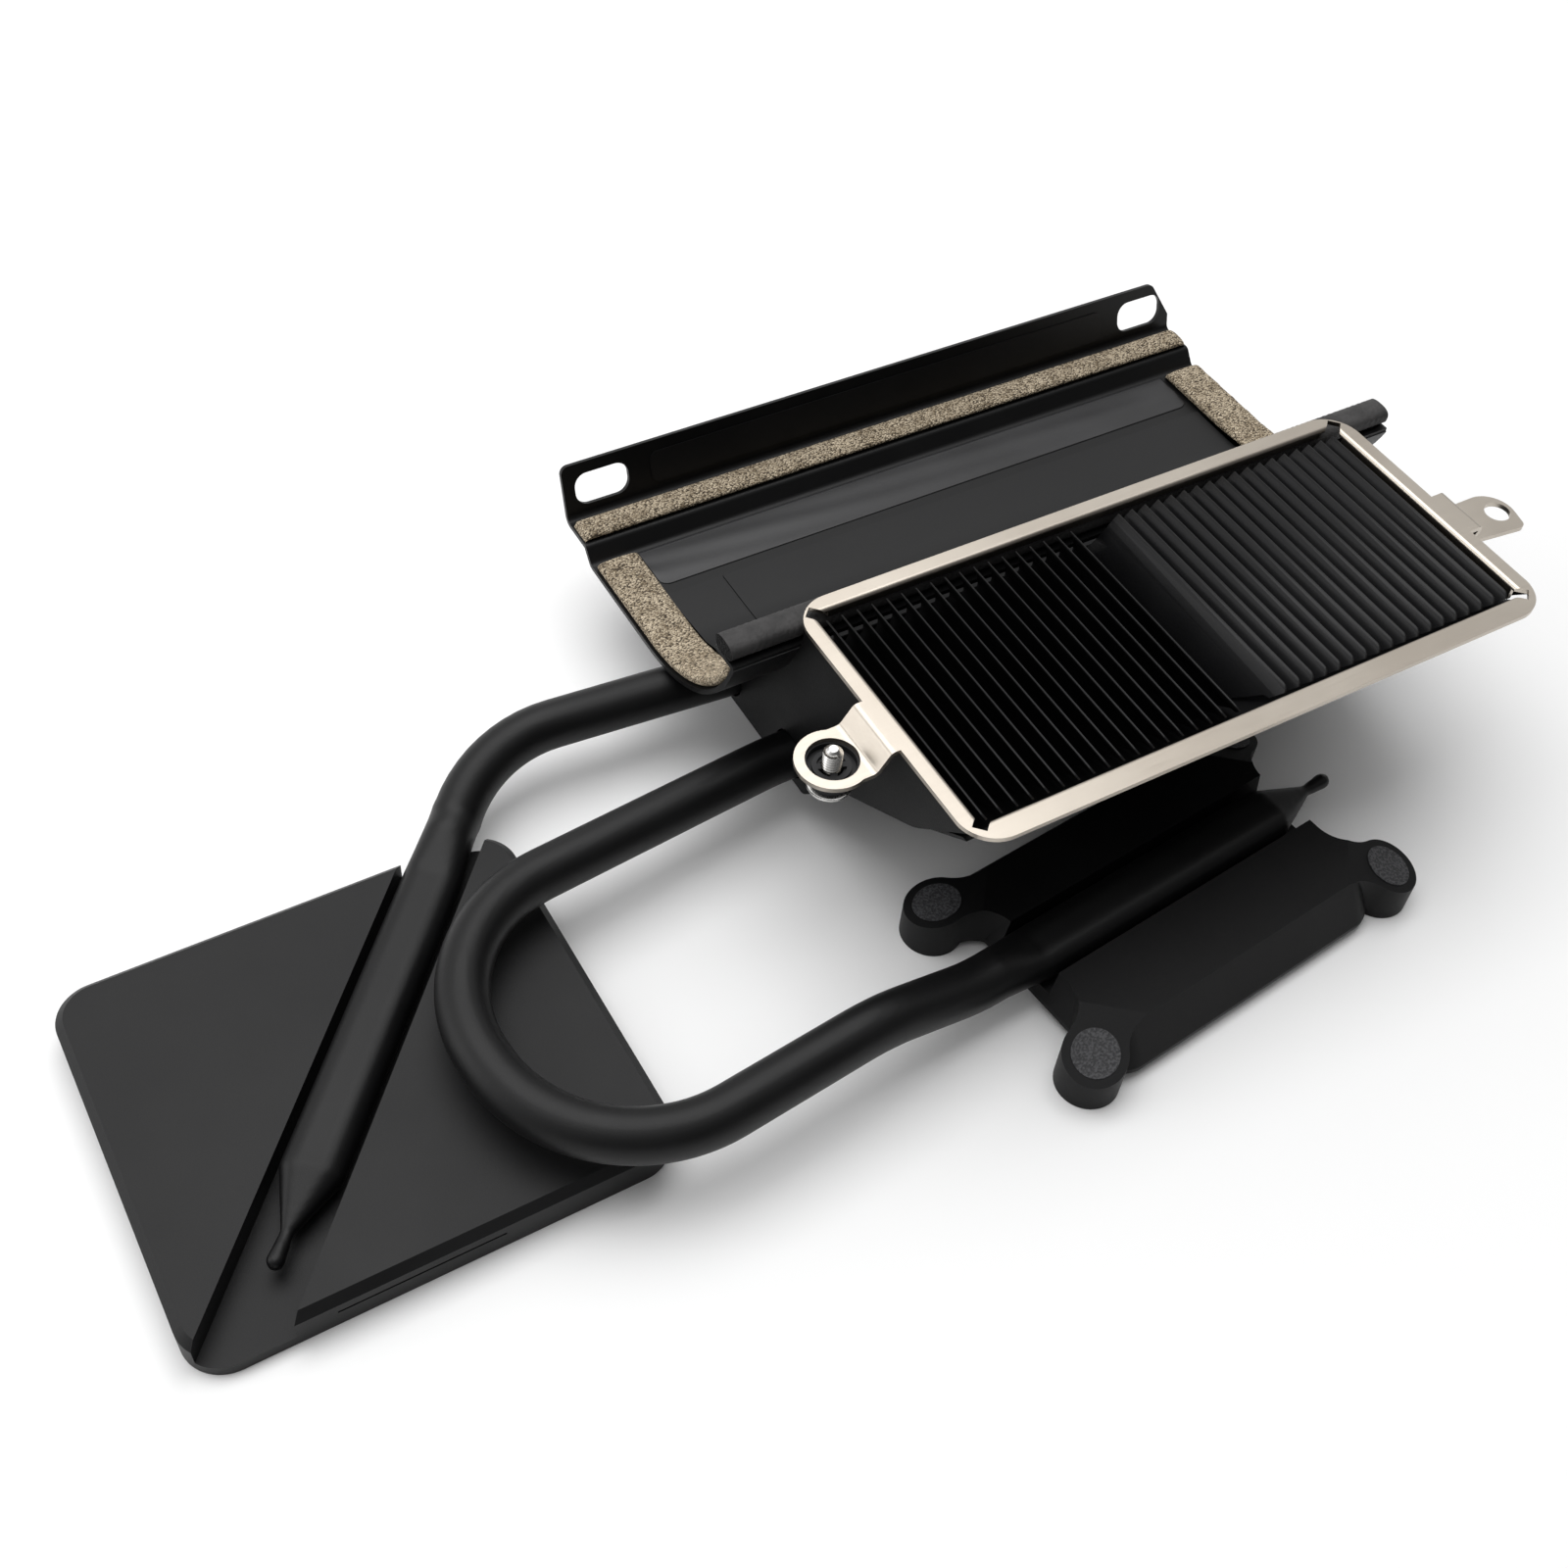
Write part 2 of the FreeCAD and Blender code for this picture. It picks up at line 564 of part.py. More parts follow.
def frame_tab(side, y, width, steps, bend_r):
    """Stepped strip with round bends: out, down and out again from a short side of the frame."""
    edge = STACK_X + side * FRAME_L / 2
    low = FRAME_TOP - TAB_DROP
    front = y - width / 2
    flat, foot, reach = (edge + side * step for step in steps)
    points = [V(edge - side * FRAME_BAND / 2, front, FRAME_TOP), V(flat, front, FRAME_TOP),
              V(foot, front, low), V(reach, front, low)]
    path = rounded_wire(points, [0, bend_r, bend_r, 0])
    return path.makeOffset2D(-side * FRAME_T, 0, True, True).extrude(V(0, width, 0))


def left_tab():
    """Left tab, which ends in a disc round the captive screw's hole."""
    hole = LEFT_HOLE
    steps = (TAB_FLAT, TAB_FLAT + TAB_SLOPE, LEFT_TAB_REACH)
    strip = frame_tab(-1, LEFT_TAB_Y, TAB_W, steps, TAB_BEND_R)
    disc = upright(hole.x, hole.y, LEFT_DISC_R, hole.z - FRAME_T, hole.z)
    return strip.fuse(disc).cut(upright(hole.x, hole.y, LEFT_HOLE_R, 0, CUT)).removeSplitter()


def frame_right_tab():
    """Right tab from the frame's edge outward: folded back under itself, with a skew end."""
    hole = RIGHT_HOLE
    edge = STACK_X + FRAME_L / 2
    steps = (RIGHT_TAB_FLAT, RIGHT_TAB_FLAT - RIGHT_TAB_RETURN, RIGHT_TAB_FLAT)
    strip = frame_tab(1, RIGHT_TAB_Y, RIGHT_TAB_W, steps, RIGHT_TAB_BEND_R)
    root = edge + RIGHT_TAB_FLAT
    back = hole.y + RIGHT_END_BACK
    front = hole.y - RIGHT_END_FRONT
    points = [V(root, front + RIGHT_END_SKEW, hole.z), V(hole.x + RIGHT_END_FRONT_X, front, hole.z),
              V(hole.x + RIGHT_END_BACK_X, back, hole.z), V(root, back, hole.z)]
    outline = Part.Face(rounded_wire(points, [0, RIGHT_END_FRONT_R, RIGHT_END_BACK_R, 0], closed=True))
    end = outline.extrude(V(0, 0, -FRAME_T))
    inside = box(edge - FRAME_BAND, edge, -CUT, CUT, 0, CUT)
    bore = upright(hole.x, hole.y, RIGHT_HOLE_R, 0, CUT)
    return strip.fuse(end).cut([inside, bore]).removeSplitter()


def exhaust_frame():
    """Sheet frame with folded inner lips, corner reliefs and the left tab."""
    x0 = STACK_X - FRAME_L / 2
    x1 = STACK_X + FRAME_L / 2
    y0 = FRAME_Y - FRAME_W / 2
    y1 = FRAME_Y + FRAME_W / 2
    t = FRAME_T
    gap = FRAME_RELIEF
    low = FRAME_TOP - FRAME_LIP_H
    inner = (x0 + FRAME_BAND, x1 - FRAME_BAND, y0 + FRAME_BAND, y1 - FRAME_BAND)
    a, b, c, d = inner
    window = box(*inner, low, FRAME_TOP)
    frame = rounded_plate(x0, x1, y0, y1, FRAME_CORNER_R, FRAME_TOP - t, FRAME_TOP).cut(window)
    lips = [box(a - t, a, c + gap, d - gap, low, FRAME_TOP), box(b, b + t, c + gap, d - gap, low, FRAME_TOP),
            box(a + gap, b - gap, c - t, c, low, FRAME_TOP), box(a + gap, b - gap, d, d + t, low, FRAME_TOP)]
    frame = frame.fuse(lips).removeSplitter()
    top_edges = [e for e in frame.Edges if e.BoundBox.ZMin > FRAME_TOP - EDGE_TOLERANCE]
    fold = [e for e in top_edges if window.distToShape(e)[0] < EDGE_TOLERANCE]
    frame = frame.makeFillet(FRAME_FOLD_R, fold)
    frame = frame.fuse(left_tab()).removeSplitter()
    cuts = []
    for x in (a, b):
        for y in (c, d):
            relief = box(-gap / 2, gap / 2, -gap / 2, gap / 2, low, CUT)
            relief.Placement = FreeCAD.Placement(V(x, y, 0), FreeCAD.Rotation(Z_AXIS, 45))
            cuts.append(relief)
    return frame.cut(cuts)


def on_screw(radius, z0, z1):
    """A cylinder on the captive screw's axis."""
    return upright(LEFT_HOLE.x, LEFT_HOLE.y, radius, z0, z1)


def captive_screw():
    """Head below the grommet, shank up through the tab."""
    head = on_screw(SCREW_HEAD_R, GROMMET_FOOT - SCREW_HEAD_T, GROMMET_FOOT)
    shank = on_screw(SCREW_R, GROMMET_FOOT - SCREW_HEAD_T, SCREW_TIP)
    tip = [e for e in shank.Edges if e.BoundBox.ZMin > SCREW_TIP - EDGE_TOLERANCE]
    return head.fuse(shank.makeChamfer(SCREW_CHAMFER, tip)).removeSplitter()


def screw_grommet():
    """Soft cup against the underside of the tab, with a neck down to the screw's head."""
    rim = LEFT_HOLE.z - FRAME_T
    cup = on_screw(GROMMET_CUP_R, GROMMET_TOP - GROMMET_CUP_FLOOR, rim)
    neck = on_screw(GROMMET_R, GROMMET_FOOT, GROMMET_TOP)
    hollow = on_screw(GROMMET_CUP_BORE_R, GROMMET_TOP, rim + MARGIN)
    bore = on_screw(GROMMET_BORE_R, GROMMET_FOOT - MARGIN, rim + MARGIN)
    return cup.fuse(neck).cut([hollow, bore]).removeSplitter()


def screw_clip():
    """Ring in the cup with prongs that keep the screw from falling out."""
    top = GROMMET_TOP + CLIP_T
    ring = on_screw(CLIP_R, GROMMET_TOP, top).cut(on_screw(CLIP_RING_R, GROMMET_TOP, top))
    prongs = []
    for index in range(CLIP_PRONGS):
        prong = box(0, CLIP_RING_R, -CLIP_PRONG_W / 2, CLIP_PRONG_W / 2, GROMMET_TOP, top)
        turn = FreeCAD.Rotation(Z_AXIS, CLIP_ANGLE + index * 360 / CLIP_PRONGS)
        prong.Placement = FreeCAD.Placement(V(LEFT_HOLE.x, LEFT_HOLE.y, 0), turn)
        prongs.append(prong)
    return ring.fuse(prongs).cut(on_screw(CLIP_BORE_R, GROMMET_TOP, top)).removeSplitter()


def scoop_arc_point(radius, degrees):
    """A point round the scoop's curve, from straight down towards the stack."""
    turn = math.radians(degrees)
    return V(0, SCOOP_ARC_Y - radius * math.sin(turn), SCOOP_ARC_Z - radius * math.cos(turn))


def scoop_band(inner, outer, degrees, x0, x1):
    """A strip that follows the scoop's curve."""
    def arc(radius, start, end):
        middle = scoop_arc_point(radius, (start + end) / 2)
        return Part.Arc(scoop_arc_point(radius, start), middle, scoop_arc_point(radius, end)).toShape()
    far_end = Part.makeLine(scoop_arc_point(inner, degrees), scoop_arc_point(outer, degrees))
    near_end = Part.makeLine(scoop_arc_point(outer, 0), scoop_arc_point(inner, 0))
    edges = [arc(inner, 0, degrees), far_end, arc(outer, degrees, 0), near_end]
    return prism_x(Part.Wire(edges), x0, x1)


def on_flange(shape):
    """Moves a shape drawn on the XY plane onto the flange, with local Y up its slope."""
    turn = FreeCAD.Rotation(X_AXIS, 90 - FLANGE_LEAN)
    shape.Placement = FreeCAD.Placement(V(STACK_X, STEP_END, STEP_Z), turn)
    return shape


def flange_cuts():
    """What is cut from the flange: its two slots, the round top corners and the taper on the right."""
    half = SCOOP_L / 2
    cuts = []
    for side in (-1, 1):
        x = side * (half - SLOT_INSET)
        slot = rounded_plate(x - SLOT_L / 2, x + SLOT_L / 2, SLOT_Y - SLOT_W / 2, SLOT_Y + SLOT_W / 2,
                             SLOT_CORNER_R, -CUT_DEPTH, CUT_DEPTH)
        cuts.append(slot)
    points = [V(-half, 0, 0), V(half, 0, 0), V(half, FLANGE_TAPER_Y, 0), V(half - FLANGE_TAPER, FLANGE_H, 0),
              V(-half, FLANGE_H, 0)]
    outline = Part.Face(rounded_wire(points, [0, 0, 0, FLANGE_CORNER_R, FLANGE_CORNER_R], closed=True))
    keep = outline.extrude(V(0, 0, 2 * CUT_DEPTH))
    keep.translate(V(0, 0, -CUT_DEPTH))
    around = box(-CUT, CUT, FLANGE_TAPER_Y, FLANGE_H + CUT_DEPTH, -CUT_DEPTH, CUT_DEPTH)
    cuts.append(around.cut(keep))
    return [on_flange(cut) for cut in cuts]


def inlet_scoop():
    """Folded sheet: back flange with slots, step, floor, curved side rims and upper lip."""
    lean = math.radians(FLANGE_LEAN)
    points = [V(0, STEP_END + FLANGE_H * math.sin(lean), STEP_Z + FLANGE_H * math.cos(lean)),
              V(0, STEP_END, STEP_Z), V(0, RISER_Y + RISER_RUN, STEP_Z), V(0, RISER_Y, SCOOP_FLOOR),
              V(0, SCOOP_ARC_Y, SCOOP_FLOOR)]
    path = rounded_wire(points, [0, SCOOP_BEND_R, SCOOP_BEND_R, SCOOP_BEND_R, 0])
    folded = sheet_x(path, SCOOP_T, SCOOP_LEFT, SCOOP_RIGHT).cut(flange_cuts())
    inner_left = STACK_LEFT + STACK_WALL
    inner_right = STACK_RIGHT - STACK_WALL
    outer = SCOOP_ARC_R + SCOOP_T
    rims = [scoop_band(SCOOP_ARC_R, outer, SCOOP_ARC_ANGLE, SCOOP_LEFT, inner_left),
            scoop_band(SCOOP_ARC_R, outer, SCOOP_ARC_ANGLE, inner_right, SCOOP_RIGHT)]
    tongue = box(inner_left, inner_right, STACK_REAR - BASE_T, SCOOP_ARC_Y, SCOOP_FLOOR - SCOOP_T,
                 SCOOP_FLOOR)
    lip = box(SCOOP_LEFT, SCOOP_RIGHT, LIP_Y, LIP_Y + LIP_W, LIP_Z, LIP_Z + SCOOP_T)
    return folded.fuse(rims + [tongue, lip]).removeSplitter()


def lip_foam():
    """Foam strip with a round back on the upper lip."""
    y1 = LIP_Y + LIP_W
    y0 = y1 - LIP_FOAM_W
    z0 = LIP_Z + SCOOP_T
    z1 = z0 + LIP_FOAM_H
    points = [V(0, y0, z0), V(0, y1, z0), V(0, y1, z1), V(0, y0, z1)]
    wire = rounded_wire(points, [0, 0, LIP_FOAM_H / 2, LIP_FOAM_H / 2], closed=True)
    return prism_x(wire, SCOOP_LEFT, SCOOP_RIGHT)


def side_foam(x0, x1):
    """Foam strip on a side rim, along the floor and up the curve."""
    inner = SCOOP_ARC_R - FOAM_SIDE_T
    curve = scoop_band(inner, SCOOP_ARC_R, FOAM_ARC_ANGLE, x0, x1)
    flat = box(x0, x1, SCOOP_ARC_Y, FOAM_END_Y, SCOOP_FLOOR, SCOOP_FLOOR + FOAM_SIDE_T)
    return curve.fuse(flat).removeSplitter()


def left_foam():
    """Strip on the left rim."""
    return side_foam(SCOOP_LEFT + FOAM_INSET, SCOOP_LEFT + FOAM_SIDE_W)


def right_foam():
    """Strip on the right rim."""
    return side_foam(SCOOP_RIGHT - FOAM_SIDE_W, SCOOP_RIGHT - FOAM_INSET)


def back_foam():
    """Strip on the step in front of the flange."""
    y1 = STEP_END - SCOOP_BEND_R
    return box(SCOOP_LEFT + FOAM_INSET, SCOOP_RIGHT - FOAM_INSET, y1 - FOAM_BACK_W, y1, STEP_Z,
               STEP_Z + FOAM_BACK_T)


def floor_film():
    """Thin sheet on the floor between the side strips, with a slit near its left end."""
    inset = FOAM_SIDE_W + FOAM_INSET
    film = box(SCOOP_LEFT + inset, SCOOP_RIGHT - inset, FILM_FRONT, FILM_FOLD, SCOOP_FLOOR,
               SCOOP_FLOOR + FILM_T)
    x = STACK_X + FILM_SLIT_X
    slit = box(x, x + FILM_SLIT_W, FILM_FRONT + FILM_SLIT_INSET, FILM_FOLD + MARGIN, SCOOP_FLOOR - MARGIN,
               SCOOP_FLOOR + MARGIN)
    return film.cut(slit)


def floor_tape():
    """Tape across the back of the floor."""
    return box(SCOOP_LEFT + TAPE_INSET, SCOOP_RIGHT - TAPE_INSET, TAPE_FRONT, TAPE_BACK, SCOOP_FLOOR,
               SCOOP_FLOOR + FILM_T)


def flange_film():
    """Thin sheet on the flange between the slots."""
    half = SCOOP_L / 2 - FLANGE_FILM_INSET
    film = rounded_plate(-half, half, SLOT_Y - FLANGE_FILM_W / 2, SLOT_Y + FLANGE_FILM_W / 2,
                         FLANGE_CORNER_R, 0, FILM_T)
    return on_flange(film)


def all_parts():
    """Every node's name and shape."""
    makers = [cpu_cold_plate, cpu_heat_pipe, gpu_cold_plate, gpu_heat_pipe, gpu_threaded_inserts,
              left_end_plate, right_end_plate, lower_shroud, fin_base, exhaust_frame, frame_right_tab,
              captive_screw, screw_grommet, screw_clip, inlet_scoop, lip_foam, left_foam, right_foam,
              back_foam, floor_film, floor_tape, flange_film]
    parts = {maker.__name__: maker() for maker in makers}
    profile = fin_profile()
    for index in range(FIN_COUNT):
        parts[f"fin_{index + 1:02d}"] = fin(index, profile)
    return parts


os.makedirs("parts", exist_ok=True)
for name, shape in all_parts().items():
    shape.exportStep(os.path.join("parts", name + ".step"))
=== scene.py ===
import json
import math

import bmesh
import bpy
import numpy as np
from mathutils import Matrix, Vector


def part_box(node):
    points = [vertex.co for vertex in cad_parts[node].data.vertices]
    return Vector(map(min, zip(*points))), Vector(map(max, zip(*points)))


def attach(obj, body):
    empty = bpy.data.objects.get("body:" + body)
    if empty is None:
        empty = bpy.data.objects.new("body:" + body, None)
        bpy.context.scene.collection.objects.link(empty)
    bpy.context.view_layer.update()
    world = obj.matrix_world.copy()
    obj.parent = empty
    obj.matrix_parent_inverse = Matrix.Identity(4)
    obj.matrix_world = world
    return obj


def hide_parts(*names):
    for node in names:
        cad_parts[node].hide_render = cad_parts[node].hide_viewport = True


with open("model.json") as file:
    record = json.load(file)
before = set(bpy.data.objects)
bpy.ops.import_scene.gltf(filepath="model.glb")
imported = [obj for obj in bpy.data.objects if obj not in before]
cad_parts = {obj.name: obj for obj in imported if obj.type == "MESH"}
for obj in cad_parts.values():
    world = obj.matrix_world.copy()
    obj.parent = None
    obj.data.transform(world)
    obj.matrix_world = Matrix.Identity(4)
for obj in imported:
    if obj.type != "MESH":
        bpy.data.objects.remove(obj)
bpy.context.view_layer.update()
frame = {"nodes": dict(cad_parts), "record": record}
scene = bpy.context.scene

# Lengths are in metres, and wave rates in radians per metre except where a heading says otherwise
MM = 0.001
MERGE_GAP = 0.001 * MM
CUT_GAP = 0.0001 * MM
SAME_PLACE = 0.01 * MM

# Camera: where the photograph was taken from, in the part's frame
CAMERA_PLACE = (-0.03239, -0.14487, 0.23914)
CAMERA_RIGHT = (0.8643, -0.4985, 0.0671)
CAMERA_DOWN = (-0.3439, -0.6831, -0.6443)
CAMERA_AHEAD = (0.3670, 0.5338, -0.7618)
CAMERA_LENS = 43.34
CAMERA_SENSOR = 36.0

# Floor and surroundings
FLOOR_HALF = 3.0
FLOOR_DROP = 0.1 * MM
FLOOR_WHITE = (0.96, 0.96, 0.96, 1)
WORLD_BRIGHT_SIDE = (-0.25, 0.75, 0.61)
WORLD_FADE = (-0.35, 0.75)
WORLD_STRENGTH = (0.1, 0.8)

# Tan foam strips; their wave rates are in radians over the strip's length
FOAM_COLUMNS = 56
FOAM_EDGE_POWER = 3.2
FOAM_WAVE = 0.05 * MM
FOAM_LONG_WAVE = 61.0
FOAM_SHORT_WAVE = 137.0
FOAM_SHORT_SHARE = 0.6
FOAM_SHORT_PHASE = 1.3
FOAM_WAVE_FLOOR = 0.5
FOAM_END_ROUND = 0.6
FOAM_END_START = 0.02
FOAM_END_NARROW = 0.1
SIDE_FOAM_ROWS = 150
SIDE_FOAM_T = 2.0 * MM
SIDE_FOAM_ARC = math.radians(64.0)
BACK_FOAM_ROWS = 260
BACK_FOAM_SLIM = 0.84
BACK_EDGE_POWER = 2.2

# Scoop: the arc that the side strips and the film follow
SCOOP_ARC_R = 27.4 * MM
SCOOP_ARC_Y = 47.41 * MM

# Black foam strip on the lip, with its creases
LIP_ROWS = 700
LIP_EDGE_POWER = 2.7
LIP_WRINKLE = 0.05 * MM
LIP_CREASE = 5200.0
LIP_CREASE_BEND = 3.0
LIP_CREASE_TURNS = 2.0
LIP_DRIFT = 310.0
LIP_DRIFT_REACH = 2.0
LIP_FADE = 930.0
LIP_FADE_PHASE = 1.0
LIP_FADE_SHARE = 0.4

# Exhaust frame: its length without the tab, and how its band is drawn in
FRAME_L = 108.2 * MM
BAND_START = 2.0 * MM
BAND_FULL = 4.7 * MM
BAND_END = 9.0 * MM
BAND_SLIM = 1.1 * MM
BAND_FRONT_SHIFT = 1.0 * MM
BACK_LIP_LOW = 39.0 * MM
FRAME_SHARP = math.radians(5.0)

# Fins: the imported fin's sheet, and how the finished sheet departs from it
FIN_T = 0.5 * MM
FIN_LEAN = 3.0 * MM
FIN_BEND_Z = 29.0 * MM
FIN_THIN = 0.6
FIN_NOSE_Z = 37.0 * MM
FIN_NOSE_RISE = 0.2 * MM
FIN_NOSE_Y = -20.5 * MM
FIN_NOSE_REACH = 0.9 * MM
FIN_CURL = 0.5 * MM
FIN_RAISE = 0.9 * MM
FIN_SHARP = math.radians(40.0)

# Shroud: how far its front rim is drawn on to the frame
SHROUD_REACH = 2.7 * MM
SHROUD_RAISE = 0.6 * MM

# Tape on the floor
TAPE_COLUMNS = 400
TAPE_ROWS = 40
TAPE_T = 0.12 * MM
TAPE_CORNER = 2.0 * MM
TAPE_CLEARANCE = 0.6 * MM
TAPE_BACK_Y = 67.8 * MM
TAPE_RIPPLE = 0.16 * MM
TAPE_WAVE = 95.0
TAPE_WAVE_SLANT = 4.0
TAPE_WAVE_DRIFT = 41.0
TAPE_CROSS_DRIFT = 23.0

# Film on the floor; the slit's walls lie between two shares of its width
FILM_ROWS = 60
FILM_T = 0.2 * MM
FILM_ARC = math.radians(40.0)
FILM_SLIT_X = 88.7 * MM
FILM_SLIT_W = 0.5 * MM
FILM_SLIT_WALLS = (-0.6, -0.5, 0.5, 0.6)
FILM_SLIT_T = 0.1 * FILM_T

# Heat pipes
PIPE_VOXEL = 0.4 * MM
PIPE_RELAX = 40
RELAX_IN = 0.5
RELAX_OUT = -0.53
NO_FOLDS = math.pi

# Captive screw
SCREW_ROWS = 150
SCREW_COLUMNS = 48
SCREW_BEVEL = 0.06 * MM
THREAD_PITCH = 0.5 * MM
THREAD_DEPTH = 0.26 * MM
THREAD_L = 4.2 * MM
SHANK_R = 1.5 * MM
HEAD_T = 0.8 * MM
TIP_CHAMFER = 0.8 * MM

# Finishes: linear colours, roughness ranges, and where a noise or a cell's distance begins and ends to count
NOISE_SPREAD = (0.3, 0.7)
COAT_BLUE = 1.08
COAT_ROUGH_SPREAD = 0.05
COAT_BUMP_DEPTH = 0.2 * MM
DUST_GREY = (0.3, 0.29, 0.28, 1)
DUST_COVER = 0.35
PLATED_DARK = (0.48, 0.43, 0.37, 1)
PLATED_LIGHT = (0.55, 0.5, 0.435, 1)
PLATED_ROUGH = (0.28, 0.36)
PLATED_DRIFT = 45.0
LINE_STRETCH = (0.02, 1.0, 1.0)
STEEL_DARK = (0.6, 0.59, 0.57, 1)
STEEL_LIGHT = (0.75, 0.74, 0.72, 1)
STEEL_ROUGH = (0.18, 0.32)
YARN_DARK = (0.185, 0.138, 0.084, 1)
YARN_LIGHT = (0.74, 0.63, 0.47, 1)
# painted shade: the near-black yarn colour in the recesses between loops
YARN_GAP_SHADE = (0.055, 0.042, 0.029, 1)
KNIT_TURN = (0.35, 0.3, 0.6)
KNIT_STRETCH = (1.0, 1.6, 1.2)
KNIT_RANDOM = 0.85
KNIT_LOOP_SHARE = 0.75
KNIT_LOOP_EDGE = (0.1, 0.7)
# where the painted shade between loops begins and where it is full
KNIT_GAP_SHADE_EDGE = (0.4, 0.75)
KNIT_DRIFT = 420.0
KNIT_DRIFT_SPREAD = (0.35, 0.65)
GRAIN_DARK = (0.02, 0.02, 0.022, 1)
GRAIN_LIGHT = (0.06, 0.06, 0.064, 1)
GRAIN_EDGE = (0.42, 0.62)
SKIN_DARK = (0.033, 0.032, 0.032, 1)
SKIN_LIGHT = (0.055, 0.053, 0.053, 1)
CELL_WALL = (0.016, 0.016, 0.016, 1)
# painted shade: the near-black colour in the hollows between foam cells
CELL_HOLLOW_SHADE = (0.001, 0.001, 0.001, 1)


# Node graphs
class Graph:
    """Adds and joins the nodes of one material or group."""

    def __init__(self, tree):
        """Keeps the node tree that the nodes go into."""
        self.tree = tree

    def fill(self, socket, value):
        """Joins a socket to another, or gives it a plain value."""
        if isinstance(value, bpy.types.NodeSocket):
            self.tree.links.new(value, socket)
        else:
            socket.default_value = value

    def fill_named(self, node, **values):
        """Fills a node's inputs by name, with an underscore for each space."""
        for name, value in values.items():
            self.fill(node.inputs[name.replace("_", " ")], value)

    def new(self, kind, settings):
        """A node of a kind, with its settings made."""
        node = self.tree.nodes.new(kind)
        for name, value in settings.items():
            setattr(node, name, value)
        return node

    def add(self, kind, settings=None, **values):
        """A node of a kind, with its inputs filled by name; gives its outputs."""
        node = self.new(kind, settings or {})
        self.fill_named(node, **values)
        return node.outputs

    def add_pair(self, kind, settings, first, second):
        """A node whose first two inputs share a name, so they are filled by order; gives its outputs."""
        node = self.new(kind, settings)
        self.fill(node.inputs[0], first)
        self.fill(node.inputs[1], second)
        return node.outputs

    def object_place(self):
        """The place on the piece, in the object's own coordinates."""
        return self.add("ShaderNodeTexCoord")["Object"]

    def noise(self, where, scale, detail):
        """Soft noise with so many cells a metre and so many finer layers over them."""
        return self.add("ShaderNodeTexNoise", Vector=where, Scale=scale, Detail=detail)["Fac"]

    def calc(self, operation, first, second):
        """One sum, product or comparison of two values."""
        return self.add_pair("ShaderNodeMath", {"operation": operation}, first, second)["Value"]

    def band(self, value, low, high, start=0.0, stop=1.0):
        """Maps low..high onto start..stop along a smooth step."""
        return self.add("ShaderNodeMapRange", {"interpolation_type": "SMOOTHSTEP"}, Value=value, From_Min=low,
                        From_Max=high, To_Min=start, To_Max=stop)["Result"]

    def mix(self, factor, first, second):
        """Blends two colours by a factor of 0 to 1."""
        node = self.new("ShaderNodeMix", {"data_type": "RGBA"})
        self.fill(node.inputs["Factor"], factor)
        colours = [socket for socket in node.inputs if socket.type == "RGBA"]
        self.fill(colours[0], first)
        self.fill(colours[1], second)
        return next(socket for socket in node.outputs if socket.type == "RGBA")

    def raise_surface(self, shader, height, strength, depth):
        """Tilts a shader's normal by the slope of a height."""
        lift = self.add("ShaderNodeBump", Strength=strength, Distance=depth, Height=height)
        self.fill(shader.inputs["Normal"], lift["Normal"])


def effect_group(name, inputs, outputs):
    """A shader group with named values in and out: the group, its graph, what it is given and its end."""
    group = bpy.data.node_groups.new(name, "ShaderNodeTree")
    for label, default in inputs.items():
        socket = group.interface.new_socket(label, in_out="INPUT", socket_type="NodeSocketFloat")
        socket.default_value = default
    for label in outputs:
        group.interface.new_socket(label, in_out="OUTPUT", socket_type="NodeSocketFloat")
    graph = Graph(group)
    return group, graph, graph.add("NodeGroupInput"), group.nodes.new("NodeGroupOutput")


def coat_grain_group():
    """Grain of a sprayed coat: fine noise is height, slow noise is shade, and their mean is roughness."""
    group, g, given, end = effect_group("coat_grain", {"Grain per metre": 5000.0, "Drift per metre": 60.0},
                                        ("Height", "Shade", "Rough"))
    where = g.object_place()
    fine = g.noise(where, given["Grain per metre"], 3.0)
    slow = g.noise(where, given["Drift per metre"], 4.0)
    mean = g.calc("ADD", g.calc("MULTIPLY", fine, 0.5), g.calc("MULTIPLY", slow, 0.5))
    g.fill_named(end, Height=fine, Shade=g.band(slow, *NOISE_SPREAD), Rough=mean)
    return group


def dust_group():
    """Sparse pale specks: small discs round the middles of a few cells, each of its own size."""
    group, g, given, end = effect_group(
        "dust_specks", {"Cells per metre": 160.0, "Share": 0.05, "Size": 0.035}, ("Mask",))
    cells = g.add("ShaderNodeTexVoronoi", Vector=g.object_place(), Scale=given["Cells per metre"])
    drawn = g.add("ShaderNodeSeparateColor", Color=cells["Color"])
    chosen = g.calc("LESS_THAN", drawn["Red"], given["Share"])
    near = g.calc("LESS_THAN", cells["Distance"], g.calc("MULTIPLY", given["Size"], drawn["Green"]))
    g.fill_named(end, Mask=g.calc("MULTIPLY", chosen, near))
    return group


